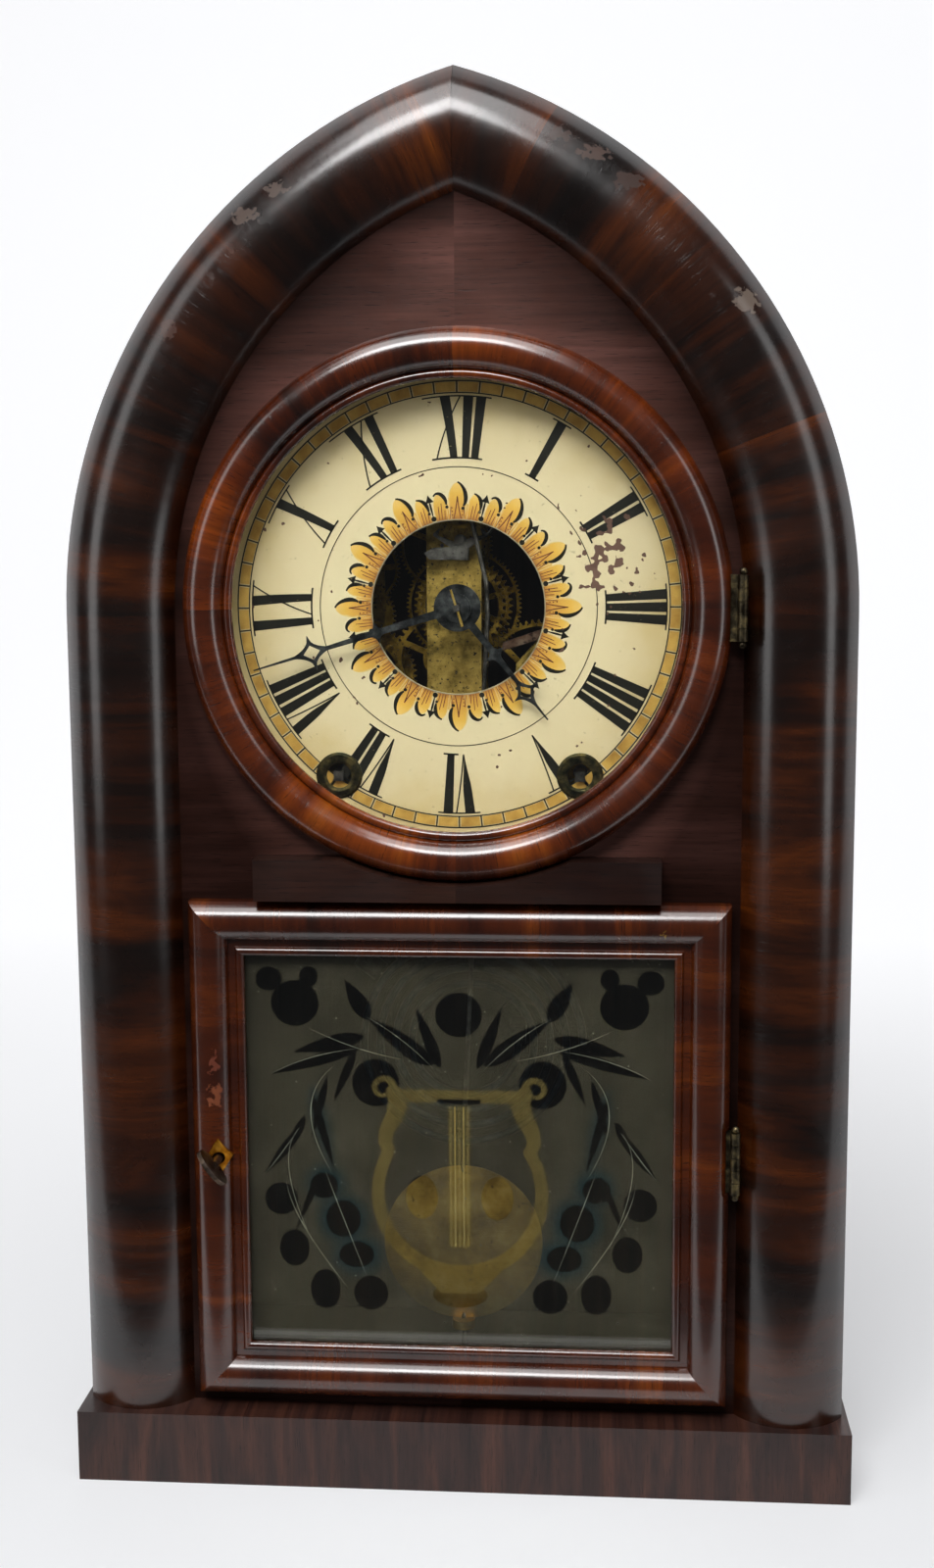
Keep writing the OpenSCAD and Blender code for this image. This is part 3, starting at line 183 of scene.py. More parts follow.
paper, paper_shader = material("white_paper_sweep")
dust = put(paper, "TexNoise", {"Scale": every(333.333), "Detail": 3.0})
tint = set_stops(put(paper, "ValToRGB", {"Fac": dust}), (0, 1), ("#b9babc", "#c4c5c7"))
put(paper, paper_shader, {"Base Color": tint, "Roughness": 0.7})
ray = put(paper, "LightPath").outputs
shown = put(paper, "Math", [ray["Is Camera Ray"], ray["Is Transmission Ray"]], operation="MAXIMUM")
shown = put(paper, "Math", [shown, ray["Is Glossy Ray"]], operation="MAXIMUM")
place = axes(paper)
height = put(paper, "Math", [place["Y"], 0.4, place["Z"]], operation="MULTIPLY_ADD")
height = put(paper, "MapRange", {"Value": height, 2: GLOW_RISE, 3: FLOOR_GLOW, 4: WALL_GLOW})
glow = put(paper, "Math", [shown, height], operation="MULTIPLY")
lift = put(paper, "Emission", [linear("#fbfbfd"), glow])
show(paper, put(paper, "AddShader", [paper_shader, lift]))

across = np.linspace(-HALF_WIDE, HALF_WIDE, 9)
arc = np.radians(np.linspace(0, 90, 16))
bend = np.stack([BEND_Y + BEND_R * np.sin(arc), BEND_R - BEND_R * np.cos(arc)], -1)
run = np.concatenate([[[FLOOR_EDGE, 0]], bend, [[BEND_Y + BEND_R, WALL_TOP]]])
sweep = surface("sweep", carried(run, across), grid_faces(len(run), len(across)), paper)

# Ahead of the clock the floor only shows: dark varnish and glass mirror the dim room instead.

run = [[APRON_EDGE, 0], [FLOOR_EDGE, 0]]
apron = surface("floor_ahead", carried(run, across), grid_faces(len(run), len(across)), paper)
apron.visible_glossy = apron.visible_transmission = apron.visible_diffuse = False


def window(name, place, aim, size, watts):
    """Rectangular soft lamp at a place, turned to face the middle line at the height to aim at."""
    lamp = bpy.data.lights.new(name, "AREA")
    lamp.shape = "RECTANGLE"
    lamp.size, lamp.size_y = size
    lamp.energy = watts
    obj = bpy.data.objects.new(name, lamp)
    obj.rotation_euler = (Vector((0, 0, aim)) - Vector(place)).to_track_quat("-Z", "Y").to_euler()
    obj.location = place
    scene.collection.objects.link(obj)


window("key_window", (-0.2, -1.1, 1.38), 0.25, (0.8, 0.45), 19)
window("skylight", (-0.1, -0.45, 1.35), 0.3, (0.9, 0.5), 6.5)
window("left_window", (-1.3, -0.9, 0.7), 0.25, (0.45, 1.4), 4)
window("right_window", (1.3, -0.9, 0.6), 0.25, (0.35, 1.4), 3.4)


# The case: figured veneer laid over plain wood, under many coats of old varnish that has gone dark.
# Across the grain it runs through almost black bands, red-browns and a few orange glows, and the
# gloss is broken only by fine pores and by knocks that show the pale wood below.

ARCH_OFF, SPRING_Z = 0.0503, 0.306
ARCH_INNER, ARCH_MIDDLE = 0.1463, 0.165
LENGTH_TURN = 0.365
DIAL_Z, BEZEL_MIDDLE = 0.308, 0.084
DOOR_HALF, DOOR_MID, DOOR_RISE = 0.0928, 0.1194, 0.0888

# Steps that shift the figure, so that no two pieces are cut from the same stretch of veneer.

SIDE_STEP, QUARTER_STEP, STILE_STEP, RAIL_STEP = 3.7, 5.3, 7.1, 4.4
LENGTH_STEP, ARCH_SIDE_STEP = 0.37, 2.9


def dress(mat, *nodes):
    """Gives CAD nodes this material in place of the one that they came with."""
    for name in nodes:
        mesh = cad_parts[name].data
        mesh.materials.clear()
        mesh.materials.append(mat)


def straight(mat, grain, across):
    """Grain space of a flat board: the two named axes, in metres, with a step by the side of the
    clock, so that left and right aren't twins."""
    place = axes(mat)
    side = put(mat, "Math", [place["X"]], operation="SIGN")
    shift = put(mat, "Math", [side, SIDE_STEP], operation="MULTIPLY")
    return put(mat, "CombineXYZ", [place[grain], shift, place[across]])


def streaks(mat, space, mm, detail, turn=0.0, **more):
    """Noise drawn out to these millimetres along each axis of the space, after a turn about Y."""
    drawn = put(mat, "Mapping", {"Vector": space, "Rotation": (0, turn, 0), "Scale": [every(v) for v in mm]})
    return put(mat, "TexNoise", {"Vector": drawn, "Scale": 1.0, "Detail": detail, **more})


def round_a_centre(mat, off, rise, reach):
    """Grain space of a curved piece veneered across its width: the distance from the curve's
    centre runs with the grain, and the angle times the reach runs across it. The veneer of the arch
    is laid in lengths of about 60 mm, and the figure changes from one to the next."""
    place = axes(mat)
    side = put(mat, "Math", [place["X"]], operation="SIGN")
    out_x = put(mat, "Math", [place["X"]], operation="ABSOLUTE") if off else place["X"]
    dx = put(mat, "Math", [out_x, off], operation="ADD")
    dz = put(mat, "Math", [place["Z"], rise], operation="SUBTRACT")
    flat = put(mat, "CombineXYZ", {0: dx, 2: dz})
    far = put(mat, "VectorMath", [flat], operation="LENGTH")
    angle = put(mat, "Math", [dz, dx], operation="ARCTAN2")
    if off:
        length = put(mat, "Math", [angle, LENGTH_TURN], operation="DIVIDE")
        length = put(mat, "Math", [length], operation="FLOOR")
        side = put(mat, "Math", [side, ARCH_SIDE_STEP], operation="MULTIPLY")
        shift = put(mat, "Math", [length, LENGTH_STEP, side], operation="MULTIPLY_ADD")
    else:
        quarter = put(mat, "Math", [angle, np.pi / 2], operation="DIVIDE")
        quarter = put(mat, "Math", [quarter], operation="FLOOR")
        shift = put(mat, "Math", [quarter, QUARTER_STEP], operation="MULTIPLY")
    across = put(mat, "Math", [angle, reach], operation="MULTIPLY")
    return put(mat, "CombineXYZ", [far, shift, across])


def mitred_frame(mat):
    """Grain space of the lower door: the veneer crosses each rail, and the rails change over at
    the mitre, where the ways to the two edges are equal."""
    place = axes(mat)
    wide = put(mat, "Math", [place["X"]], operation="ABSOLUTE")
    tall = put(mat, "Math", [place["Z"], DOOR_MID], operation="SUBTRACT")
    tall = put(mat, "Math", [tall], operation="ABSOLUTE")
    to_side = put(mat, "Math", [DOOR_HALF, wide], operation="SUBTRACT")
    to_top = put(mat, "Math", [DOOR_RISE, tall], operation="SUBTRACT")
    stile = put(mat, "Math", [to_side, to_top], operation="LESS_THAN")
    side = put(mat, "Math", [place["X"]], operation="SIGN")
    shift = put(mat, "Math", [side, STILE_STEP], operation="MULTIPLY")
    upright = put(mat, "CombineXYZ", [place["X"], shift, place["Z"]])
    level = put(mat, "CombineXYZ", [place["Z"], RAIL_STEP, place["X"]])
    return put(mat, "Mix", {0: stile, 4: level, 5: upright}, data_type="VECTOR")


BAND_RATIO, PORE_MM, PORE_LENGTH_MM = 6.25, 0.3125, 6.25
# Painted shade under the arch: full colour this far from the arch's centre, and only this share of it at the
# inner edge.
ARCH_SHADE_FROM, ARCH_SHADE_LEFT = 0.12, 0.2
RAGGED, KNOCK_ROUGH, WAVES = 0.011, 0.6, 1.6


def veneer(name, space, shades, band_mm, gloss=0.16, coat=0.7, knocks=(0, 1, ()), arch_shade=None):
    """Varnished veneer in a grain space. The figure is noise drawn out along the grain, its bands
    about band_mm wide. Pores are short dark flecks 0.1 mm wide, drawn at 0.3 mm so that they show.
    Knocks are places of a bare colour, edged by noise. Where a distance is given for painted shade, the wood
    is darkened and dulled as that distance comes near the inner edge of the arch: painted shade for the
    shadow that the arch moulding casts."""
    mat, shader = material(name)
    grain = space(mat)
    figure = streaks(mat, grain, (BAND_RATIO * band_mm, 1000, band_mm), 5.0, Roughness=0.55, Distortion=0.9)
    ramp = set_stops(put(mat, "ValToRGB", {"Fac": figure}), np.linspace(0.3, 0.72, len(shades)), shades)
    streak = streaks(mat, grain, (33.33, 1000, 1.111), 3.0)
    streak = put(mat, "MapRange", {"Value": streak, 1: 0.25, 2: 0.75, 3: 0.72, 4: 1.18})
    lined = put(mat, "VectorMath", {0: ramp, "Scale": streak}, operation="SCALE")
    pore = streaks(mat, grain, (PORE_LENGTH_MM, 1000, PORE_MM), 1.0)
    pore = put(mat, "MapRange", {"Value": pore, 1: 0.64, 2: 0.72, 3: 1.0, 4: 0.45})
    colour = put(mat, "VectorMath", {0: lined, "Scale": pore}, operation="SCALE")
    shine = 0.25
    # Painted shade: colour, coat and sheen fall off towards the inner edge of the arch, standing in for the
    # moulding's shadow on the board.
    if arch_shade:
        shade_scale = put(mat, "MapRange", {"Value": arch_shade(mat), 1: ARCH_SHADE_FROM, 2: ARCH_INNER,
                                      3: 1.0, 4: ARCH_SHADE_LEFT})
        colour = put(mat, "VectorMath", {0: colour, "Scale": shade_scale}, operation="SCALE")
        coat = put(mat, "Math", [shade_scale, coat], operation="MULTIPLY")
        shine = put(mat, "Math", [shade_scale, shine], operation="MULTIPLY")
    place = put(mat, "TexCoord").outputs["Object"]
    ragged = put(mat, "TexNoise", {"Vector": place, "Scale": every(2.38), "Detail": 4.0}).outputs["Color"]
    ragged = put(mat, "VectorMath", [ragged, (0.5, 0.5, 0.5)], operation="SUBTRACT")
    ragged = put(mat, "VectorMath", {0: ragged, "Scale": RAGGED}, operation="SCALE")
    ragged = put(mat, "VectorMath", [place, ragged], operation="ADD")
    rub = put(mat, "TexNoise", {"Vector": place, "Scale": every(18.18), "Detail": 5.0})
    rough = put(mat, "MapRange", {"Value": rub, 1: 0.35, 2: 0.7, 3: gloss, 4: gloss + 0.2})
    height = pore
    y, half_y, marks = knocks
    for x, z, half_x, half_z, bare, depth in marks:
        spot, squash = [v / 1000 for v in (x, y, z)], [every(v) for v in (half_x, half_y, half_z)]
        off = put(mat, "VectorMath", [ragged, spot], operation="SUBTRACT")
        off = put(mat, "VectorMath", [off, squash], operation="MULTIPLY")
        far = put(mat, "VectorMath", [off], operation="LENGTH")
        hit = put(mat, "MapRange", {"Value": far, 1: 0.85, 2: 1.05, 3: 1.0, 4: 0.0})
        colour = put(mat, "Mix", {0: hit, 6: colour, 7: linear(bare)}, data_type="RGBA")
        rough = put(mat, "Mix", {0: hit, 2: rough, 3: KNOCK_ROUGH})
        sink = put(mat, "Math", [hit, -depth], operation="MULTIPLY")
        height = put(mat, "Math", [height, sink], operation="ADD")
    wavy = put(mat, "TexNoise", {"Vector": place, "Scale": every(10.53), "Detail": 2.0})
    wavy = put(mat, "Math", [wavy, WAVES], operation="MULTIPLY")
    height = put(mat, "Math", [height, wavy], operation="ADD")
    bump = put(mat, "Bump", {"Height": height, "Strength": 0.16, "Distance": 0.001})
    put(mat, shader, {"Base Color": colour, "Roughness": rough, "Normal": bump, "IOR": 1.5,
                      "Specular IOR Level": shine, "Coat Weight": coat, "Coat Roughness": 0.2,
                      "Coat IOR": 1.65})
    return mat


def from_arch_centre(mat):
    """Distance to the centre from which this half of the arch is drawn."""
    return put(mat, "SeparateXYZ", [round_a_centre(mat, ARCH_OFF, SPRING_Z, 1)]).outputs["X"]


# Wear seen in the photograph: a lost piece of veneer and rubbed shoulders on the arch, scuffs on
# the bezel, and a rubbed place and a speck of paint on the lower door. A list has the middle and
# the half size of its marks in Y. Each mark is its X and Z, its half sizes in them, the bare
# colour and how deep it goes, all in millimetres.

SHOULDER_WEAR = (-20, 30, [(94.5, 406.2, 4.6, 4.4, "#62544a", 0.7), (-68.3, 435.7, 5.2, 3.0, "#4b3d36", 0.5),
                           (-57.4, 443.6, 4.4, 2.6, "#4b3d36", 0.5), (34.8, 458.7, 4.2, 2.4, "#34221b", 0.5),
                           (45.6, 453.2, 5.6, 2.2, "#43322b", 0.5), (57.0, 444.4, 5.6, 2.8, "#34221b", 0.5),
                           (-93.0, 400.0, 2.2, 4.0, "#3d2014", 0.4)])
BEZEL_MARKS = (-21, 9, [(58.8, 369.0, 1.8, 1.6, "#6f5449", 0.3), (-54.2, 372.1, 1.6, 1.3, "#816f66", 0.3),
                        (-69.7, 359.7, 1.3, 1.5, "#64473a", 0.3), (-74.1, 353.0, 1.3, 1.3, "#64473a", 0.3)])
DOOR_MARKS = (-18, 12, [(-83.7, 140.0, 2.6, 5.2, "#7c4125", 0.3), (-84.2, 152.0, 1.7, 6.2, "#693220", 0.3),
                        (69.8, 198.3, 1.3, 1.2, "#a07c2d", -0.2)])
DARK_BANDS = ("#0c0503", "#170904", "#2c1104", "#471f06", "#66320a")

dress(veneer("varnished_side_veneer", lambda mat: straight(mat, "Z", "Y"),
             ("#150a07", "#24110b", "#35180e", "#432011"), band_mm=14, gloss=0.3, coat=0.3),
      "side_boards", "arch_top")
dress(veneer("base_veneer_upright", lambda mat: straight(mat, "Z", "X"),
             ("#201310", "#2f1c18", "#3f251d", "#4a2c22"), band_mm=9, gloss=0.34, coat=0.25), "plinth")
dress(veneer("column_cross_banding", lambda mat: straight(mat, "X", "Z"), DARK_BANDS, band_mm=24),
      "column_mouldings")
dress(veneer("arch_cross_banding", lambda mat: round_a_centre(mat, ARCH_OFF, SPRING_Z, ARCH_MIDDLE),
             DARK_BANDS, band_mm=30, knocks=SHOULDER_WEAR), "arch_mouldings")
# The front board is painted darker close under the arch moulding: painted shade for the moulding's shadow.
dress(veneer("front_board_veneer", lambda mat: straight(mat, "X", "Z"),
             ("#3a1f18", "#502f26", "#674037", "#794f46"), band_mm=40, gloss=0.4, coat=0.25,
             arch_shade=from_arch_centre), "front_board")
dress(veneer("block_veneer", lambda mat: straight(mat, "X", "Z"),
             ("#1b0d0b", "#25130d", "#2f1912", "#362016"), band_mm=18, gloss=0.36, coat=0.2), "rail_block")
dress(veneer("bezel_veneer", lambda mat: round_a_centre(mat, 0, DIAL_Z, BEZEL_MIDDLE),
             ("#190803", "#381304", "#552106", "#773408", "#8e4910"), band_mm=34, gloss=0.14, coat=0.9,
             knocks=BEZEL_MARKS), "upper_door_frame")
dress(veneer("door_cross_banding", mitred_frame, ("#200a03", "#381304", "#4d1e04", "#6f3408"),
             band_mm=26, gloss=0.15, coat=0.9, knocks=DOOR_MARKS), "lower_door_frame")


# Bare softwood inside and behind, sawn rather than planed, a dry brown on the back. Inside the case the
# same wood is painted almost black: painted shade for the dim inside of the case.

CASE_BACK = 0.088
OUTSIDE_LIGHTER = 4.5

softwood, softwood_shader = material("old_pine")
rings = streaks(softwood, straight(softwood, "Z", "X"), (166.67, 1000, 6.667), 6.0, Distortion=0.5)
pine = set_stops(put(softwood, "ValToRGB", {"Fac": rings}), (0.32, 0.7), ("#160f0a", "#35261a"))
# Painted shade: wood inside the case, ahead of its back, keeps the near black ramp, and the back face is
# four and a half times lighter.
shade_scale = put(softwood, "MapRange", {"Value": axes(softwood)["Y"], 1: CASE_BACK - 0.002, 2: CASE_BACK - 0.001,
                                   3: 1.0, 4: OUTSIDE_LIGHTER})
brown = put(softwood, "VectorMath", {0: pine, "Scale": shade_scale}, operation="SCALE")
scar = put(softwood, "Bump", {"Height": rings, "Strength": 0.4, "Distance": 0.0006})
put(softwood, softwood_shader, {"Base Color": brown, "Roughness": 0.75, "Normal": scar})
dress(softwood, "floor_board", "backboard", "glazing_strips", "dial_cleats", "movement_rails")


# The dial: zinc sheet painted cream, with a gilt minute ring, black numerals and a printed gilt
# rosette round its open centre. The paint has yellowed towards its rim and has flaked off in one
# patch, where the brown undercoat shows.

DIAL_FACE = 0.008
HOLE_R = 0.0294
NUMERAL_IN, NUMERAL_OUT = 0.0502, 0.0706
NUMERAL_MID = (NUMERAL_IN + NUMERAL_OUT) / 2
THICK, THIN = 0.0029, 0.0005
RING_IN, RING_OUT = 0.0717, 0.0756
FLAKES_AT, FLAKES_R = (0.0475, 0.008, 0.3245), 0.021
COAT_THICK = 0.00003


def on_dial(radius, turn):
    """Front view place of polar coordinates: a radius, and a turn clockwise from twelve."""
    radius, turn = np.broadcast_arrays(np.asarray(radius, float), np.asarray(turn, float))
    return np.stack([radius * np.sin(turn), DIAL_Z + radius * np.cos(turn)], -1)


def ribbon(line, widths):
    """Four-sided faces along a front view line: each point is moved half its width to either side,
    square to the line there, and neighbours are joined."""
    line = np.asarray(line, float)
    way = np.gradient(line, axis=0)
    way /= np.linalg.norm(way, axis=1)[:, None] + 1e-12
    side = np.stack([-way[:, 1], way[:, 0]], -1) * (np.broadcast_to(widths, len(line)) / 2)[:, None]
    left, right = line + side, line - side
    return np.stack([right[:-1], right[1:], left[1:], left[:-1]], 1)


def laid(name, quads, depth, mat):
    """Makes quads of the front view a flat mesh at this depth, each with four points of its own."""
    points = np.stack([quads[..., 0], np.full(quads.shape[:2], depth), quads[..., 1]], -1)
    return surface(name, points, np.arange(len(quads) * 4).reshape(-1, 4), mat, smooth=False)


def print_layer(name, quads, layer, mat, uv=None):
    """Lays quads of the front view on the dial as paint, each layer 0.03 mm ahead of the last."""
    quads = np.concatenate([np.asarray(q, float).reshape(-1, 4, 2) for q in quads])
    first, second = quads[:, 2] - quads[:, 0], quads[:, 3] - quads[:, 1]
    flip = first[:, 0] * second[:, 1] < first[:, 1] * second[:, 0]
    quads[flip] = quads[flip][:, ::-1]
    obj = laid(name, quads, DIAL_FACE - layer * COAT_THICK, mat)
    if uv is not None:
        uv = np.concatenate(uv)
        uv[flip] = uv[flip][:, ::-1]
        obj.data.uv_layers.new(name="print").data.foreach_set("uv", uv.ravel())
    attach(obj, "case")


def flaked(mat, colour, rough):
    """Mixes the bare undercoat over a paint: in patches where a fine noise passes a level that
    falls off away from the middle of the flaked place, and in stray specks elsewhere."""
    place = put(mat, "TexCoord").outputs["Object"]
    spots = put(mat, "TexNoise", {"Vector": place, "Scale": every(3.03), "Detail": 1.4, "Roughness": 0.45})
    off = put(mat, "VectorMath", [place, FLAKES_AT], operation="DISTANCE")
    level = put(mat, "MapRange", {"Value": off, 1: 0.004, 2: FLAKES_R, 3: 0.555, 4: 0.76})
    gone = put(mat, "Math", [spots, level], operation="GREATER_THAN")
    bare = put(mat, "Mix", {0: gone, 6: colour, 7: linear("#664a40")}, data_type="RGBA")
    dull = put(mat, "Mix", {0: gone, 2: rough, 3: 0.8})
    return bare, dull, gone


cream, cream_shader = material("aged_cream_dial_paint")
place = put(cream, "TexCoord").outputs["Object"]
rim = put(cream, "VectorMath", [place, (0, DIAL_FACE, DIAL_Z)], operation="DISTANCE")
cloud = put(cream, "TexNoise", {"Vector": place, "Scale": every(35.7), "Detail": 5.0, "Roughness": 0.6})
cloud = put(cream, "MapRange", {"Value": cloud, 1: 0.3, 2: 0.7, 3: -0.010, 4: 0.012})
rim = put(cream, "Math", [rim, cloud], operation="ADD")
yellowing = put(cream, "MapRange", {"Value": rim, 1: 0.025, 2: 0.082})
ivory = put(cream, "ValToRGB", {"Fac": yellowing})
set_stops(ivory, (0, 0.62, 1), ("#e0d3b0", "#ddcda8", "#ccb580"))
speck = put(cream, "TexNoise", {"Vector": place, "Scale": every(1.429), "Detail": 2.0})
speck = put(cream, "MapRange", {"Value": speck, 1: 0.69, 2: 0.76, 3: 1.0, 4: 0.72})
dirty = put(cream, "VectorMath", {0: ivory, "Scale": speck}, operation="SCALE")
bare, dull, gone = flaked(cream, dirty, 0.42)
step = put(cream, "Math", [gone, -1.0], operation="MULTIPLY")
step = put(cream, "Bump", {"Height": step, "Strength": 0.5, "Distance": 0.0002})
put(cream, cream_shader, {"Base Color": bare, "Roughness": dull, "Normal": step, "IOR": 1.5})
dress(cream, "dial_plate")

black, black_shader = material("black_dial_enamel")
place = put(black, "TexCoord").outputs["Object"]
scratch = streaks(black, place, (2, 1000, 0.3846), 2.0, turn=0.6)
scratch = put(black, "MapRange", {"Value": scratch, 1: 0.70, 2: 0.74})
enamel = put(black, "Mix", {0: scratch, 6: linear("#15140f"), 7: linear("#a89c72")}, data_type="RGBA")
bare, dull, gone = flaked(black, enamel, 0.35)
put(black, black_shader, {"Base Color": bare, "Roughness": dull})

# Each letter's strokes are their outer and inner place along it and whether they are heavy. After
# them comes its width. All are in millimetres at the middle of the numerals.

LETTER_GAP, OUTER_TIE, INNER_TIE = 0.95, 1.6, 1.7
GLYPHS = {"I": ([(1.4, 1.4, 1)], 2.8), "V": ([(1.4, 2.6, 1), (5.5, 2.8, 0)], 5.6),
          "X": ([(5.0, 7.2, 1), (9.5, 0.3, 0)], 9.5)}


def numeral(word, hour):
    """Roman numeral as ribbons: every stroke runs from the outer to the inner circle, its sides
    spread like the spokes of the dial, and thin arcs tie the ends. A V comes to a point inside."""
    at, pen, tied = 0.0, [], []
    for letter in word:
        strokes, width = GLYPHS[letter]
        for top, foot, heavy in strokes:
            pen.append((at + top, at + foot, heavy, letter))
        if letter != "V":
            tied.append((at, at + width))
        at += width + LETTER_GAP
    half = (at - LETTER_GAP) / 2
    turn = np.radians(30 * hour)
    s = np.linspace(0, 1, 9)
    out = []
    for top, foot, heavy, letter in pen:
        run = (top + (foot - top) * s - half) / 1000 / NUMERAL_MID
        radius = NUMERAL_OUT + (NUMERAL_IN - NUMERAL_OUT) * s
        spread = radius / NUMERAL_MID
        width = np.where(heavy, THICK * spread, THIN)
        if letter == "V" and heavy:
            width = width * np.clip((1 - s) / 0.55, 0.04, 1)
        out.append(ribbon(on_dial(radius, turn + run), width))
    span = np.linspace(-half - OUTER_TIE, half + OUTER_TIE, 24) / 1000 / NUMERAL_MID
    out.append(ribbon(on_dial(NUMERAL_OUT, turn + span), THIN))
    if tied:
        first, last = tied[0][0] - half - INNER_TIE, tied[-1][1] - half + INNER_TIE
        span = np.linspace(first, last, 24) / 1000 / NUMERAL_MID
        out.append(ribbon(on_dial(NUMERAL_IN, turn + span), THIN * 1.2))
    return out


HOURS = ["XII", "I", "II", "III", "IIII", "V", "VI", "VII", "VIII", "IX", "X", "XI"]
print_layer("numerals", [q for hour, word in enumerate(HOURS) for q in numeral(word, hour)], 3, black)

full = np.linspace(0, 2 * np.pi, 361)
circles = ((0.0472, 0.0003), (RING_IN, 0.0004), (RING_OUT, 0.00045))
inked_lines = [ribbon(on_dial(radius, full), width) for radius, width in circles]
inked_lines += [ribbon(on_dial([RING_IN, RING_OUT], np.radians(6 * m)), 0.0005) for m in range(60)]
print_layer("minute_lines", inked_lines, 3, black)

# The minute ring is gold bronze powder in size, gone brown, laid in one block for each minute.


def mottled(name, shades, mottle_mm, detail, rough, metallic=0.0, steps=(0, 1)):
    """Plain finish that wanders between two shades in clouds of this size."""
    mat, shader = material(name)
    place = put(mat, "TexCoord").outputs["Object"]
    cloud = put(mat, "TexNoise", {"Vector": place, "Scale": every(mottle_mm), "Detail": detail})
    colour = set_stops(put(mat, "ValToRGB", {"Fac": cloud}), steps, shades)
    put(mat, shader, {"Base Color": colour, "Roughness": rough, "Metallic": metallic})
    return mat


def minute_block(minute):
    """One block of the ring, short of the lines round it."""
    turn = np.radians(6 * minute + np.linspace(0.45, 5.55, 7))
    return ribbon(on_dial((RING_IN + RING_OUT) / 2, turn), RING_OUT - RING_IN - 0.0007)


ochre = mottled("gilt_minute_ring", ("#b3873c", "#dbb15a"), 6.25, 4.0, 0.4, metallic=0.25,
                steps=(0.3, 0.65))
print_layer("minute_blocks", [minute_block(m) for m in range(60)], 1, ochre)

# The rosette is a print of twelve units: a pointed leaf with a rounded lobe at each side and a
# black arrow between the units. Its gold pales towards the tips and fades out at the edges.


def petal(turn, inner, outer, half_width, spread=24):
    """Leaf from the inner to the outer radius. Its half width over the length s is the given
    function; the UV runs along the leaf in U and across it in V."""
    s, t = np.meshgrid(np.linspace(0, 1, spread), np.linspace(-1, 1, 7), indexing="ij")
    radius = inner + (outer - inner) * s
    flat = on_dial(radius, turn + t * half_width(s) / radius)
    uv = np.stack([s, t / 2 + 0.5], -1)
    cells = grid_faces(spread, 7)
    return flat.reshape(-1, 2)[cells], uv.reshape(-1, 2)[cells]


def stroke(points, wide, ends=0.4, steps=14):
    """Brush line through polar points in degrees and millimetres, thin at its ends and fullest
    past its middle: a cubic is fitted to the turn and to the radius over the line."""
    points = np.asarray(points, float)
    t, fine = np.linspace(0, 1, len(points)), np.linspace(0, 1, steps)
    degree = min(3, len(points) - 1)
    turn = np.radians(np.polyval(np.polyfit(t, points[:, 0], degree), fine))
    radius = np.polyval(np.polyfit(t, points[:, 1], degree), fine) / 1000
    swell = ends + (1 - ends) * np.sin(np.pi * fine**1.4)
    return turn, radius, wide * swell


def dot(turn, radius, size):
    """Round dot as a short ribbon as wide as its circle at each step."""
    run = np.linspace(-0.98, 0.98, 9)
    return np.radians(turn), radius / 1000 + size * run / 2, size * np.sqrt(1 - run**2) + 1e-6


gilt, gilt_shader = material("gilt_rosette_print")
along = put(gilt, "SeparateXYZ", [put(gilt, "TexCoord").outputs["UV"]]).outputs
gold = put(gilt, "ValToRGB", {"Fac": along["X"]})
set_stops(gold, (0, 0.16, 0.7, 1), ("#a0682a", "#c8923a", "#deb04c", "#e8c372"))
place = put(gilt, "TexCoord").outputs["Object"]
worn = put(gilt, "TexNoise", {"Vector": place, "Scale": every(2.38), "Detail": 4.0})
side = put(gilt, "Math", [along["Y"], 0.5], operation="SUBTRACT")
side = put(gilt, "Math", [side], operation="ABSOLUTE")
side = put(gilt, "Math", [worn, 0.22, side], operation="MULTIPLY_ADD")
faded = put(gilt, "MapRange", {"Value": side, 1: 0.5, 2: 0.64, 3: 0.0, 4: 0.8})
shaded = put(gilt, "Mix", {0: faded, 6: gold, 7: linear("#dccf9c")}, data_type="RGBA")
bare, dull, gone = flaked(gilt, shaded, 0.45)
put(gilt, gilt_shader, {"Base Color": bare, "Roughness": dull})

UNITS, HALF_UNIT, LOBE_TURN = 12, 15, 9.9
FOOT_R, LEAF_R, LOBE_R, BED_R = 0.0298, 0.0421, 0.0386, 0.0358

# Black brush strokes, fine ribs and dots of one unit: degrees from its middle and millimetres
# from the dial's, each with its width in metres.

STROKES = [([(0.1, 42.2), (2.2, 40.6), (4.2, 38.8), (4.3, 36), (3.4, 34.2)], 0.0014),
           ([(-12.4, 38.1), (-9.6, 38.8), (-7, 37.2), (-6.3, 34.8)], 0.0013),
           ([(8.6, 38.6), (12.2, 36.9), (13.3, 33.5)], 0.0013),
           ([(HALF_UNIT, 31), (HALF_UNIT, 34), (HALF_UNIT, 37)], 0.0007)]
DOTS = [(3.2, 33.4, 0.0012), (-6.0, 34.0, 0.0011), (HALF_UNIT, 30.8, 0.0018), (13.2, 32.9, 0.0010)]
RIBS = [([(-2.4, 29.9), (-1.0, 33), (0, 37.4)], 0.0004), ([(2.4, 29.9), (1.0, 33), (0, 37.4)], 0.0004),
        ([(-4.6, 30), (-3.7, 34)], 0.00028), ([(4.6, 30), (3.7, 34)], 0.00028)]
for middle in (-LOBE_TURN, LOBE_TURN):
    RIBS += [([(middle - 1.6, 30), (middle - 1.0, 34.5)], 0.00028),
             ([(middle + 0.2, 30), (middle + 0.9, 35.5)], 0.00028),
             ([(middle + 2.0, 30), (middle + 2.5, 33)], 0.00028)]
FINE_DOTS = [(turn, radius, 0.00045) for turn in (-3.1, 3.1) for radius in (31.2, 32.4, 33.6)]


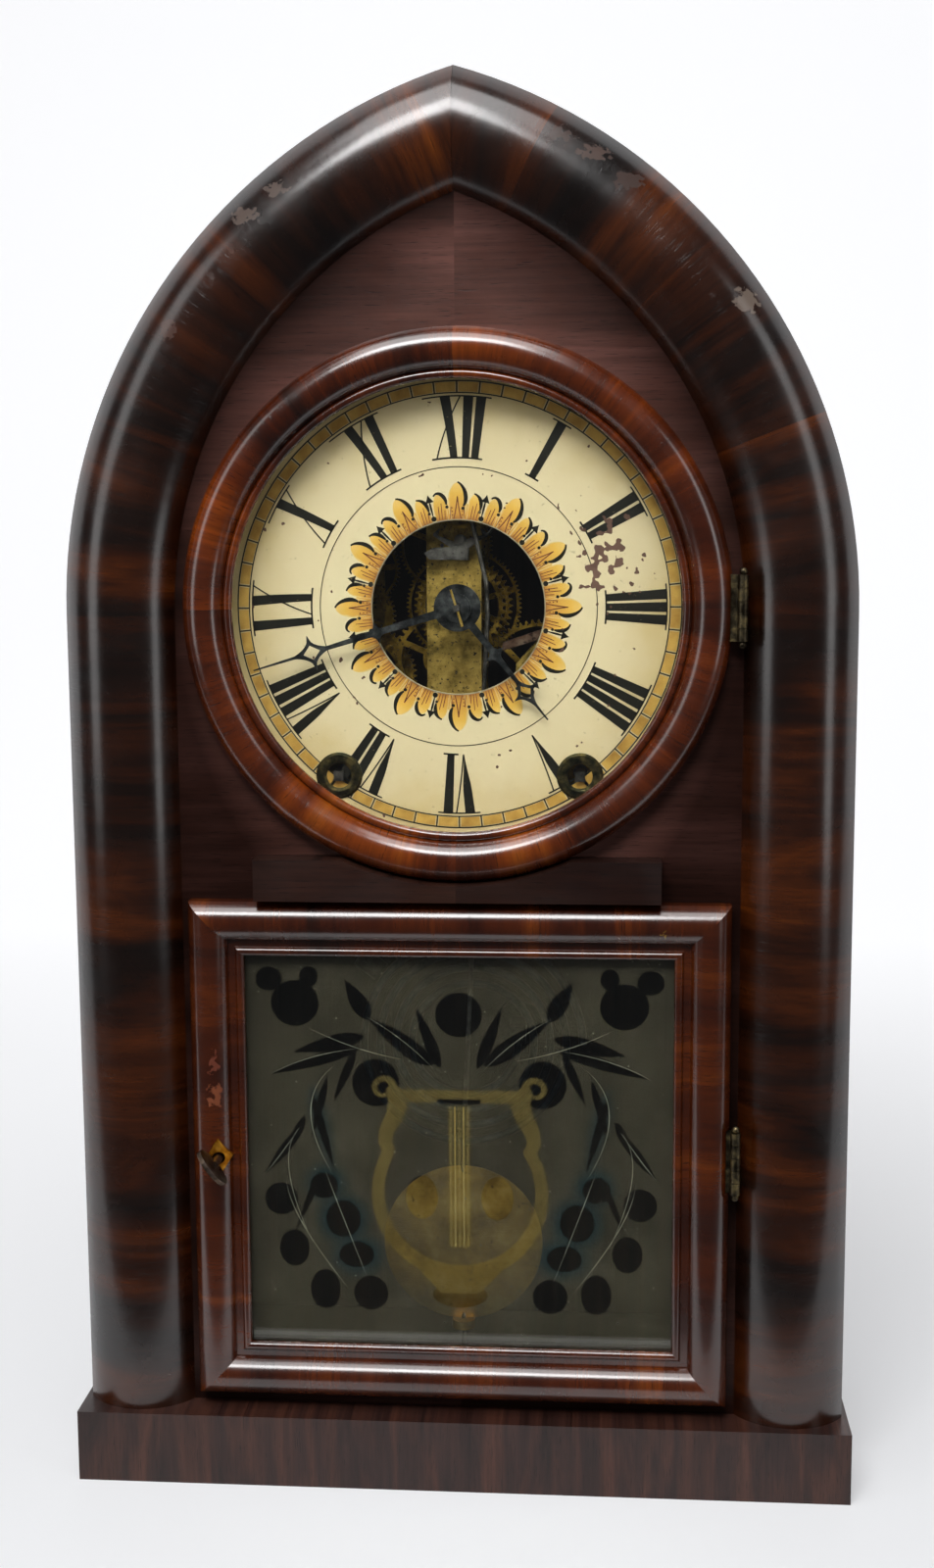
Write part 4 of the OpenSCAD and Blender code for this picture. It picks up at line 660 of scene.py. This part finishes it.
def leaf_half(s):
    """Half width of the pointed leaf: it swells outwards and closes in a blunt tip."""
    return (0.0021 + 0.0058 * s) * (1 - s) ** 0.6


def lobe_half(s):
    """Half width of a side lobe: nearly even, with a round end."""
    return 0.0027 * np.sqrt(np.clip(1 - s**3.4, 0, 1)) * (0.78 + 0.25 * s)


def bed_half(s):
    """Half width of the gold behind a unit: broad, and cut off square near the dots."""
    return 0.0075 * (1 - s**5)


petals, beds, inked, lined = [], [], [], []
arrow = np.linspace(0, 1, 6)
for unit in range(UNITS):
    at = np.radians(360 / UNITS * unit)
    petals.append(petal(at, FOOT_R, LEAF_R, leaf_half))
    for way in (-1, 1):
        petals.append(petal(at + way * np.radians(LOBE_TURN), FOOT_R, LOBE_R, lobe_half))
    beds.append(petal(at, FOOT_R - 0.0001, BED_R, bed_half))
    brushed = [stroke(points, wide) for points, wide in STROKES] + [dot(*spot) for spot in DOTS]
    inked += [ribbon(on_dial(radius, at + turn), width) for turn, radius, width in brushed]
    head = on_dial(0.0390 - 0.0026 * arrow, at + np.radians(HALF_UNIT))
    inked.append(ribbon(head, 0.0030 * arrow**1.2 + 0.0001))
    ribbed = [stroke(points, wide, ends=0.8, steps=6) for points, wide in RIBS]
    ribbed += [dot(*spot) for spot in FINE_DOTS]
    lined += [ribbon(on_dial(radius, at + turn), width) for turn, radius, width in ribbed]
bed_uv = [uv * (0.4, 1) + (0.1, 0) for p, uv in beds]
print_layer("rosette_bed", [p for p, uv in beds], 0.6, gilt, uv=bed_uv)
print_layer("gilt_rosette", [p for p, uv in petals], 1.4, gilt, uv=[uv for p, uv in petals])
umber = mottled("red_brown_fine_line_ink", ("#4a1d12", "#8a4d28"), 1.111, 2.0, 0.5)
print_layer("rosette_lines", lined, 3, umber)
print_layer("rosette_strokes", inked, 4, black)

zinc = mottled("bare_zinc_edge", ("#7d7a6c", "#c9c4b0"), 3.333, 3.0, 0.4, metallic=0.8)
print_layer("zinc_edge", [ribbon(on_dial(HOLE_R + 0.0002, full), 0.00032)], 2, zinc)


# The hands: steel, cut out with a file and once blued, now a dull blue-grey, with their boss
# turned in steps. A square brass arbor end comes through them with its taper pin.


def old_metal(name, shades, rough, grime="#120e0a", spotted=0.5, cloud_mm=11.11):
    """Aged metal: clouds of tarnish run through the shades, and dirt sits in spots a seventh as
    big, more of it the higher spotted is. Dirt is dull and hardly metallic. Fine scratches slant
    across the front."""
    mat, shader = material(name)
    place = put(mat, "TexCoord").outputs["Object"]
    cloud = put(mat, "TexNoise", {"Vector": place, "Scale": every(cloud_mm), "Detail": 6.0,
                                  "Roughness": 0.65})
    ramp = set_stops(put(mat, "ValToRGB", {"Fac": cloud}), np.linspace(0.36, 0.64, len(shades)), shades)
    pits = put(mat, "TexNoise", {"Vector": place, "Scale": every(cloud_mm / 7), "Detail": 3.0})
    dirt = put(mat, "MapRange", {"Value": pits, 1: 0.72 - 0.22 * spotted, 2: 0.82 - 0.2 * spotted})
    colour = put(mat, "Mix", {0: dirt, 6: ramp, 7: linear(grime)}, data_type="RGBA")
    lines = streaks(mat, place, (6.667, 2.5, 0.2381), 2.0, turn=0.5)
    shine = put(mat, "MapRange", {"Value": cloud, 1: 0.3, 2: 0.7, 3: rough[0], 4: rough[1]})
    shine = put(mat, "Math", [dirt, 0.35, shine], operation="MULTIPLY_ADD", use_clamp=True)
    bright = put(mat, "MapRange", {"Value": dirt, 3: 1.0, 4: 0.15})
    height = put(mat, "Math", [pits, lines], operation="ADD")
    bump = put(mat, "Bump", {"Height": height, "Strength": 0.25, "Distance": 0.0003})
    put(mat, shader, {"Base Color": colour, "Metallic": bright, "Roughness": shine, "Normal": bump})
    return mat


blued = old_metal("worn_blued_steel", ("#26282b", "#3a3d40", "#54575a"), (0.34, 0.52),
                  spotted=0.3, cloud_mm=4.167)
dress(blued, "hour_hand", "minute_hand")
dress(old_metal("taper_pin_brass", ("#a9822f", "#d9b65a", "#f0d68a"), (0.2, 0.4), spotted=0.1), "hand_pin")

# Boss of the minute hand: a disc with a step and a shallow ring turned in it, as a profile of
# radius and depth turned about the arbor.

BOSS_STEPS = np.array([(0.0016, 0.00212), (0.0031, 0.00208), (0.0034, 0.00216),
                       (0.0037, 0.00219), (0.0044, 0.00217), (0.0047, 0.00222)])
around = np.linspace(0, 2 * np.pi, 96, endpoint=False)[:, None]
radius, depth, turn = np.broadcast_arrays(*BOSS_STEPS.T, around)
rings = np.stack([radius * np.sin(turn), depth, DIAL_Z + radius * np.cos(turn)], -1)
boss = surface("minute_boss_steps", rings, grid_faces(*turn.shape, wrap_rows=True), blued)
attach(boss, "centre")


# The movement: brass plates and wheels gone olive and brown, steel arbors and lantern pins, and a
# rust-brown lever. Steel shows wherever the metal is close to an arbor's axis.

WHEEL_BRASS = ("#4d3d17", "#7a6227", "#94792f")
STEEL = ("#3b3a39", "#5c5a58", "#7c7a78")
ARBOR_R, CENTRE_ARBOR_R = 0.00145, 0.0018

dress(old_metal("olive_brass_plate", ("#5f5024", "#a08846", "#c0a65e"), (0.4, 0.65),
                spotted=0.6, cloud_mm=9.091), "front_plate", "back_plate", "plate_pillars")
dress(old_metal("dark_bronze_collar", ("#23241a", "#3f3c2a", "#675a36"), (0.3, 0.5), cloud_mm=3.333),
      "winding_collars")
dress(old_metal("grey_steel", STEEL, (0.3, 0.5), spotted=0.35, cloud_mm=6.25),
      "verge", "suspension_post", "pendulum_rod", "hammer", "time_click", "strike_click",
      "time_winding_arbor", "strike_winding_arbor", "movement_fasteners", "lock_case", "lock_bolt")
dress(old_metal("rust_brown_steel", ("#3a281f", "#5a463a", "#75655a"), (0.45, 0.7), grime="#2a1209",
                spotted=0.8), "lifting_lever", "count_lever")
dress(old_metal("blue_spring_steel", ("#2b313d", "#434c5e", "#5d6779"), (0.25, 0.45), spotted=0.3),
      "time_mainspring", "strike_mainspring")


def wheel_metal(name, x, z, reach):
    """Wheel brass that turns to grey steel within reach of the axis at this place."""
    mat = old_metal(name, WHEEL_BRASS, (0.28, 0.52), spotted=0.6, cloud_mm=6.667)
    shader = next(n for n in mat.node_tree.nodes if n.type == "BSDF_PRINCIPLED")
    brass = shader.inputs["Base Color"].links[0].from_socket
    near = axes(mat)
    dx = put(mat, "Math", [near["X"], x], operation="SUBTRACT")
    dz = put(mat, "Math", [near["Z"], z], operation="SUBTRACT")
    flat = put(mat, "CombineXYZ", [dx, dz])
    far = put(mat, "VectorMath", [flat], operation="LENGTH")
    inside = put(mat, "Math", [far, reach], operation="LESS_THAN")
    colour = put(mat, "Mix", {0: inside, 6: brass, 7: linear(STEEL[1])}, data_type="RGBA")
    put(mat, shader, {"Base Color": colour})
    return mat


# Each wheel's axis is the middle of its node's box across the front, found from the box itself.

for wheel in ("time_great_wheel", "second_wheel", "third_wheel", "escape_wheel", "minute_wheel",
              "pin_wheel", "locking_wheel", "warning_wheel", "fly", "strike_great_wheel",
              "hour_wheel", "centre_arbor"):
    low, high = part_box(wheel)
    reach = CENTRE_ARBOR_R if wheel == "centre_arbor" else ARBOR_R
    axis_x, axis_z = (low[0] + high[0]) / 2, (low[2] + high[2]) / 2
    dress(wheel_metal(f"{wheel}_brass", axis_x, axis_z, reach), wheel)


# The strike's gong is a coil of blued steel wire on an iron foot, low behind the pendulum. The
# bob is a brass lens spun over lead, bored for its rod, with a brass nut below it.

dress(old_metal("dark_gong_wire", ("#23282d", "#39424a", "#515c66"), (0.3, 0.5), spotted=0.4), "gong_coil")
dress(old_metal("japanned_iron", ("#151413", "#222120", "#33312f"), (0.35, 0.55), spotted=0.4),
      "gong_stand")
dress(old_metal("spun_brass_bob", ("#a5813a", "#d3ab55", "#efcd80"), (0.4, 0.6), spotted=0.2,
                cloud_mm=16.67), "pendulum_bob", "rating_nut")


# Hinges, the diamond plate round the keyhole and the key. All are thin rolled or cast brass. The
# hinges have gone brown, the plate is worn yellow, and the key is dull from handling.

dress(old_metal("browned_hinge_brass", ("#332c22", "#574e3c", "#857550"), (0.28, 0.5), spotted=0.55,
                cloud_mm=3.846), "hinge_case_leaves", "upper_hinge_leaf", "lower_hinge_leaf")
dress(old_metal("worn_yellow_brass", ("#8a4d10", "#c07d1e", "#dba03a"), (0.3, 0.5), grime="#3a1606",
                spotted=0.35, cloud_mm=3.125), "escutcheon")
dress(old_metal("handled_key_metal", ("#3c3128", "#5d4f43", "#84746a"), (0.25, 0.42), spotted=0.3,
                cloud_mm=5), "door_key")


# Both doors are glazed with old window glass, 2 mm thick, held in a rebate. Glass lets lamp light
# straight through, so the dial and the works behind it are lit as in the room.


def pane(name, tint):
    """Clear glass: full transmission, and plain see-through for shadow rays, so that lamps reach
    what lies behind it."""
    mat, shader = material(name)
    put(mat, shader, {"Base Color": linear(tint), "Roughness": 0.0, "IOR": 1.48,
                      "Transmission Weight": 1.0})
    clear = put(mat, "BsdfTransparent", [linear(tint)])
    lamp_way = put(mat, "LightPath").outputs["Is Shadow Ray"]
    show(mat, put(mat, "MixShader", [lamp_way, shader, clear]))
    return mat


dress(pane("clear_old_glass", "#f6f7f2"), "upper_door_glass")
dress(pane("lower_clear_glass", "#e9ece6"), "lower_door_glass")


# The lower glass is frosted inside and cut clear through the frost in a lyre with leaf sprays,
# berries and discs, a pattern common on such clocks. The frost is a film just behind the glass.
# Its points carry the distance to the nearest cut edge, and the shader turns that into frost.

FILM_Y = -0.00105
FILM_HALF, FILM_RISE, CELL = 74.4, 70.4, 0.6
BOB_Z, BOB_INSIDE, BOB_OUTSIDE = 0.081, 0.024, 0.03
FRET_HALF, FRET_MIDDLE, FRET_RISE = 3.9, -9, 25.5
STRING_GAP, STRING_HALF, STRINGS_HALF = 1.5, 0.22, 3.8
FAR = 99.0


def leaf(x, z, foot, tip, wide):
    """Distance to a leaf with its widest place a third of the way up: the offset from the line
    between foot and tip, less a half width that swells and dies out along it."""
    foot, tip = np.array(foot, float), np.array(tip, float)
    run = tip - foot
    length = np.hypot(*run)
    t = ((x - foot[0]) * run[0] + (z - foot[1]) * run[1]) / length**2
    off = np.abs((x - foot[0]) * run[1] - (z - foot[1]) * run[0]) / length
    swell = wide / 2 * np.sin(np.pi * np.clip(t, 0, 1) ** 0.7)
    past = np.maximum(np.maximum(-t, t - 1), 0) * length
    return np.hypot(off, past) - swell


def oval(x, z, middle, half_x, half_z):
    """Distance to an ellipse, taken along the ray from its middle."""
    far = np.hypot((x - middle[0]) / half_x, (z - middle[1]) / half_z)
    return (far - 1) * min(half_x, half_z)


def band(x, z, line, wide):
    """Distance to a band along a line of points, each with its own width."""
    line, wide = np.asarray(line, float), np.broadcast_to(np.asarray(wide, float), len(line))
    best = np.full(x.shape, FAR)
    for k in range(len(line) - 1):
        a, run = line[k], line[k + 1] - line[k]
        t = np.clip(((x - a[0]) * run[0] + (z - a[1]) * run[1]) / (run @ run), 0, 1)
        off = np.hypot(x - a[0] - t * run[0], z - a[1] - t * run[1])
        best = np.minimum(best, off - (wide[k] + (wide[k + 1] - wide[k]) * t) / 2)
    return best


def arc_line(middle, radius, first, last, steps=30):
    """Points of an arc, with its angles in degrees from X towards Z."""
    a = np.radians(np.linspace(first, last, steps))
    radius = np.broadcast_to(radius, steps)
    return np.stack([middle[0] + radius * np.cos(a), middle[1] + radius * np.sin(a)], -1)


wide_steps = np.linspace(-FILM_HALF, FILM_HALF, int(2 * FILM_HALF / CELL))
tall_steps = np.linspace(-FILM_RISE, FILM_RISE, int(2 * FILM_RISE / CELL))
film_x, film_z = np.meshgrid(wide_steps, tall_steps, indexing="ij")
x, z = np.abs(film_x), film_z

# Cut shapes of one half, mirrored by taking the distance from the middle without its sign.
# Leaves are foot, tip and width, ovals middle and half sizes, all in millimetres. The last four
# ovals are the discs between the arms, above and below the lyre and the eyes of its scrolls.

LEAVES = [((31, 47), (39.5, 61), 6.0), ((9, 31), (32, 48), 6.5), ((6.5, 30), (15, 52), 4.2),
          ((33, 41), (58, 35), 5.5), ((34, 37), (66, 27), 4.0), ((36, 36), (44, 17), 3.0),
          ((46, 26), (52, 4), 2.6), ((51.5, 20), (44, -7), 2.8), ((56, 7), (68.5, -9), 3.6),
          ((54, 12), (61, -2), 3.0), ((49, -8), (58, -30), 2.2)]
OVALS = [((57, 52.5), 8.3, 8.0), ((66, 61), 4.6, 4.2), ((52, 62), 3.2, 3.6), ((62.8, -18), 5.8, 5.8),
         ((47.7, -13), 4.8, 4.6), ((41, -25), 6.0, 6.6), ((58.5, -36), 5.2, 6.5), ((36.5, -38), 6.0, 4.6),
         ((47.7, -51), 5.2, 7.2), ((31.6, -52), 6.0, 6.2)]
shapes = [leaf(x, z, *shape) for shape in LEAVES] + [oval(x, z, *shape) for shape in OVALS]
shapes += [oval(film_x, z, (0, 49), 8.0, 7.8), oval(film_x, z, (0, -52), 9.5, 4.6),
           oval(x, z, (13.2, -16.5), 5.6, 7.8), oval(x, z, (29, 24.5), 8.2, 8.4)]
clear = np.minimum.reduce(shapes)

# The lyre: a ring open at the top, two arms that run up into scrolls, a crossbar and a foot. A
# slot is cut through the crossbar, and thin strings run down between the arms.

ring = band(x, z, arc_line((0, -15), 28.7, -90, 32), np.linspace(5.4, 4.2, 30))
arm_line = [(24.4, 0.2), (26.2, 3.5), (25.2, 8), (22.6, 12.5), (21.4, 17), (23.0, 21.5)]
arm = band(x, z, arm_line, [4.2, 4.6, 5.4, 6.2, 6.8, 5.0])
scroll_line = arc_line((26.5, 22.5), np.linspace(3.8, 2.0, 30), 150, -170)
scroll = band(x, z, scroll_line, np.linspace(2.6, 1.2, 30))
crossbar = band(x, z, [(0, 20), (22, 20)], 4.6)
foot = np.maximum(np.maximum(-51.5 - z, z + 43.2), x - (6.5 + 0.95 * (z + 51.5)))
lyre = np.minimum.reduce([ring, arm, scroll, crossbar, foot])
slot_cut = np.maximum(np.abs(z - 18.2) - 0.8, x - 7.5)
past_ends = np.abs(z - FRET_MIDDLE) - FRET_RISE
fretted = np.maximum(x - FRET_HALF, past_ends)
to_string = np.abs(np.mod(film_x + STRING_GAP / 2, STRING_GAP) - STRING_GAP / 2) - STRING_HALF
strings = np.maximum(to_string, np.maximum(x - STRINGS_HALF, past_ends))
berries = np.minimum.reduce([oval(x, z, (41, -25), 8.5, 9.0), oval(x, z, (47, -12), 7.0, 6.5),
                             oval(x, z, (36, -38), 8.5, 7.0), leaf(x, z, (51.5, 22), (44, -9), 5.0)])
edges = {"cut_edge": np.minimum(clear, slot_cut), "lyre_edge": np.maximum(lyre, -slot_cut),
         "string_edge": strings, "fret_edge": fretted, "berry_edge": berries}

frost, frost_shader = material("frosted_and_cut_glass")
film_points = np.stack([film_x / 1000, np.full(x.shape, FILM_Y), DOOR_MID + film_z / 1000], -1)
film = surface("frosted_film", film_points, grid_faces(*x.shape), frost)
for name, values in edges.items():
    film.data.attributes.new(name, "FLOAT", "POINT").data.foreach_set("value", values.ravel())


def inside(edge, soft=0.3):
    """One inside the shape whose edge distance is stored under this name, fading over a soft
    border, and zero outside."""
    far = put(frost, "Attribute", attribute_name=edge).outputs["Fac"]
    return put(frost, "MapRange", {"Value": far, 1: -soft, 2: soft, 3: 1.0, 4: 0.0})


place = put(frost, "TexCoord").outputs["Object"]
haze = put(frost, "TexNoise", {"Vector": place, "Scale": every(29.4), "Detail": 6.0, "Roughness": 0.6})
grey = set_stops(put(frost, "ValToRGB", {"Fac": haze}), (0.35, 0.68), ("#413b31", "#5b5448"))
teal = put(frost, "Mix", {0: inside("berry_edge", 2.5), 6: grey, 7: linear("#20383f")},
           data_type="RGBA")
gold_cloud = put(frost, "TexNoise", {"Vector": place, "Scale": every(7.69), "Detail": 4.0})
gold = put(frost, "Mix", {0: gold_cloud, 6: linear("#4e4121"), 7: linear("#8f7a49")},
           data_type="RGBA")
star = put(frost, "TexVoronoi", {"Vector": place, "Scale": every(5.263)})
star = put(frost, "Math", [star, 0.055], operation="LESS_THAN")
cut, in_lyre = inside("cut_edge"), inside("lyre_edge", 0.35)

# Over the frost lie the clear cuts, the gilt lyre, its brown ground, the strings and stray specks.

colour = teal
for share, over in ((cut, linear("#0b0c0c")), (in_lyre, gold), (inside("fret_edge"), linear("#6b5a30")),
                    (inside("string_edge", 0.2), linear("#b9a574")), (star, linear("#8f9089"))):
    colour = put(frost, "Mix", {0: share, 6: colour, 7: over}, data_type="RGBA")
solid = put(frost, "Mix", {0: cut, 2: 0.6, 3: 0.18})
bob_away = put(frost, "VectorMath", [place, (0, FILM_Y, BOB_Z)], operation="DISTANCE")
behind = put(frost, "MapRange", {"Value": bob_away, 1: BOB_INSIDE, 2: BOB_OUTSIDE, 3: 0.35, 4: 0.62})
solid = put(frost, "Mix", {0: in_lyre, 2: solid, 3: behind})
put(frost, frost_shader, {"Base Color": colour, "Roughness": 0.7, "Specular IOR Level": 0.12,
                          "Alpha": solid})
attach(film, "lower_door")

# Fine engraved lines: leaf ribs and stems, as pale scratches up to 0.3 mm wide, just ahead of
# the film. Each is its start, middle and end in millimetres.

scored = mottled("engraved_line_edge", ("#4c4b42", "#a3a195"), 3.846, 3.0, 0.35)
ENGRAVED = [[(20, 33), (36, 37), (52, 43.5)], [(36, 36.5), (52, 33), (66, 27)],
            [(9, 30), (20, 40), (32, 48)], [(44, 30), (52, 14), (45, -8)],
            [(56, 8), (60, -8), (52, -34)], [(47, -8), (42, -22), (33, -46)],
            [(61, -12), (55, -28), (40, -50)], [(56, 8), (63, -2), (68.5, -9)]]


def scratch_line(start, middle, end, way):
    """Quadratic curve in metres from start to end by way of the middle, mirrored where way is
    minus one. Its control point is twice the middle less the mean of the ends."""
    start, middle, end = np.array([start, middle, end], float)
    t = np.linspace(0, 1, 24)[:, None]
    pull = 2 * middle - (start + end) / 2
    return ((1 - t) ** 2 * start + 2 * t * (1 - t) * pull + t**2 * end) * (way, 1) / 1000


swell = 0.00022 * np.sin(np.pi * np.linspace(0, 1, 24)) + 0.00006
quads = np.concatenate([ribbon(scratch_line(*line, way), swell) for way in (-1, 1) for line in ENGRAVED])
engraving = laid("engraved_lines", quads + (0, DOOR_MID), FILM_Y - COAT_THICK, scored)
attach(engraving, "lower_door")
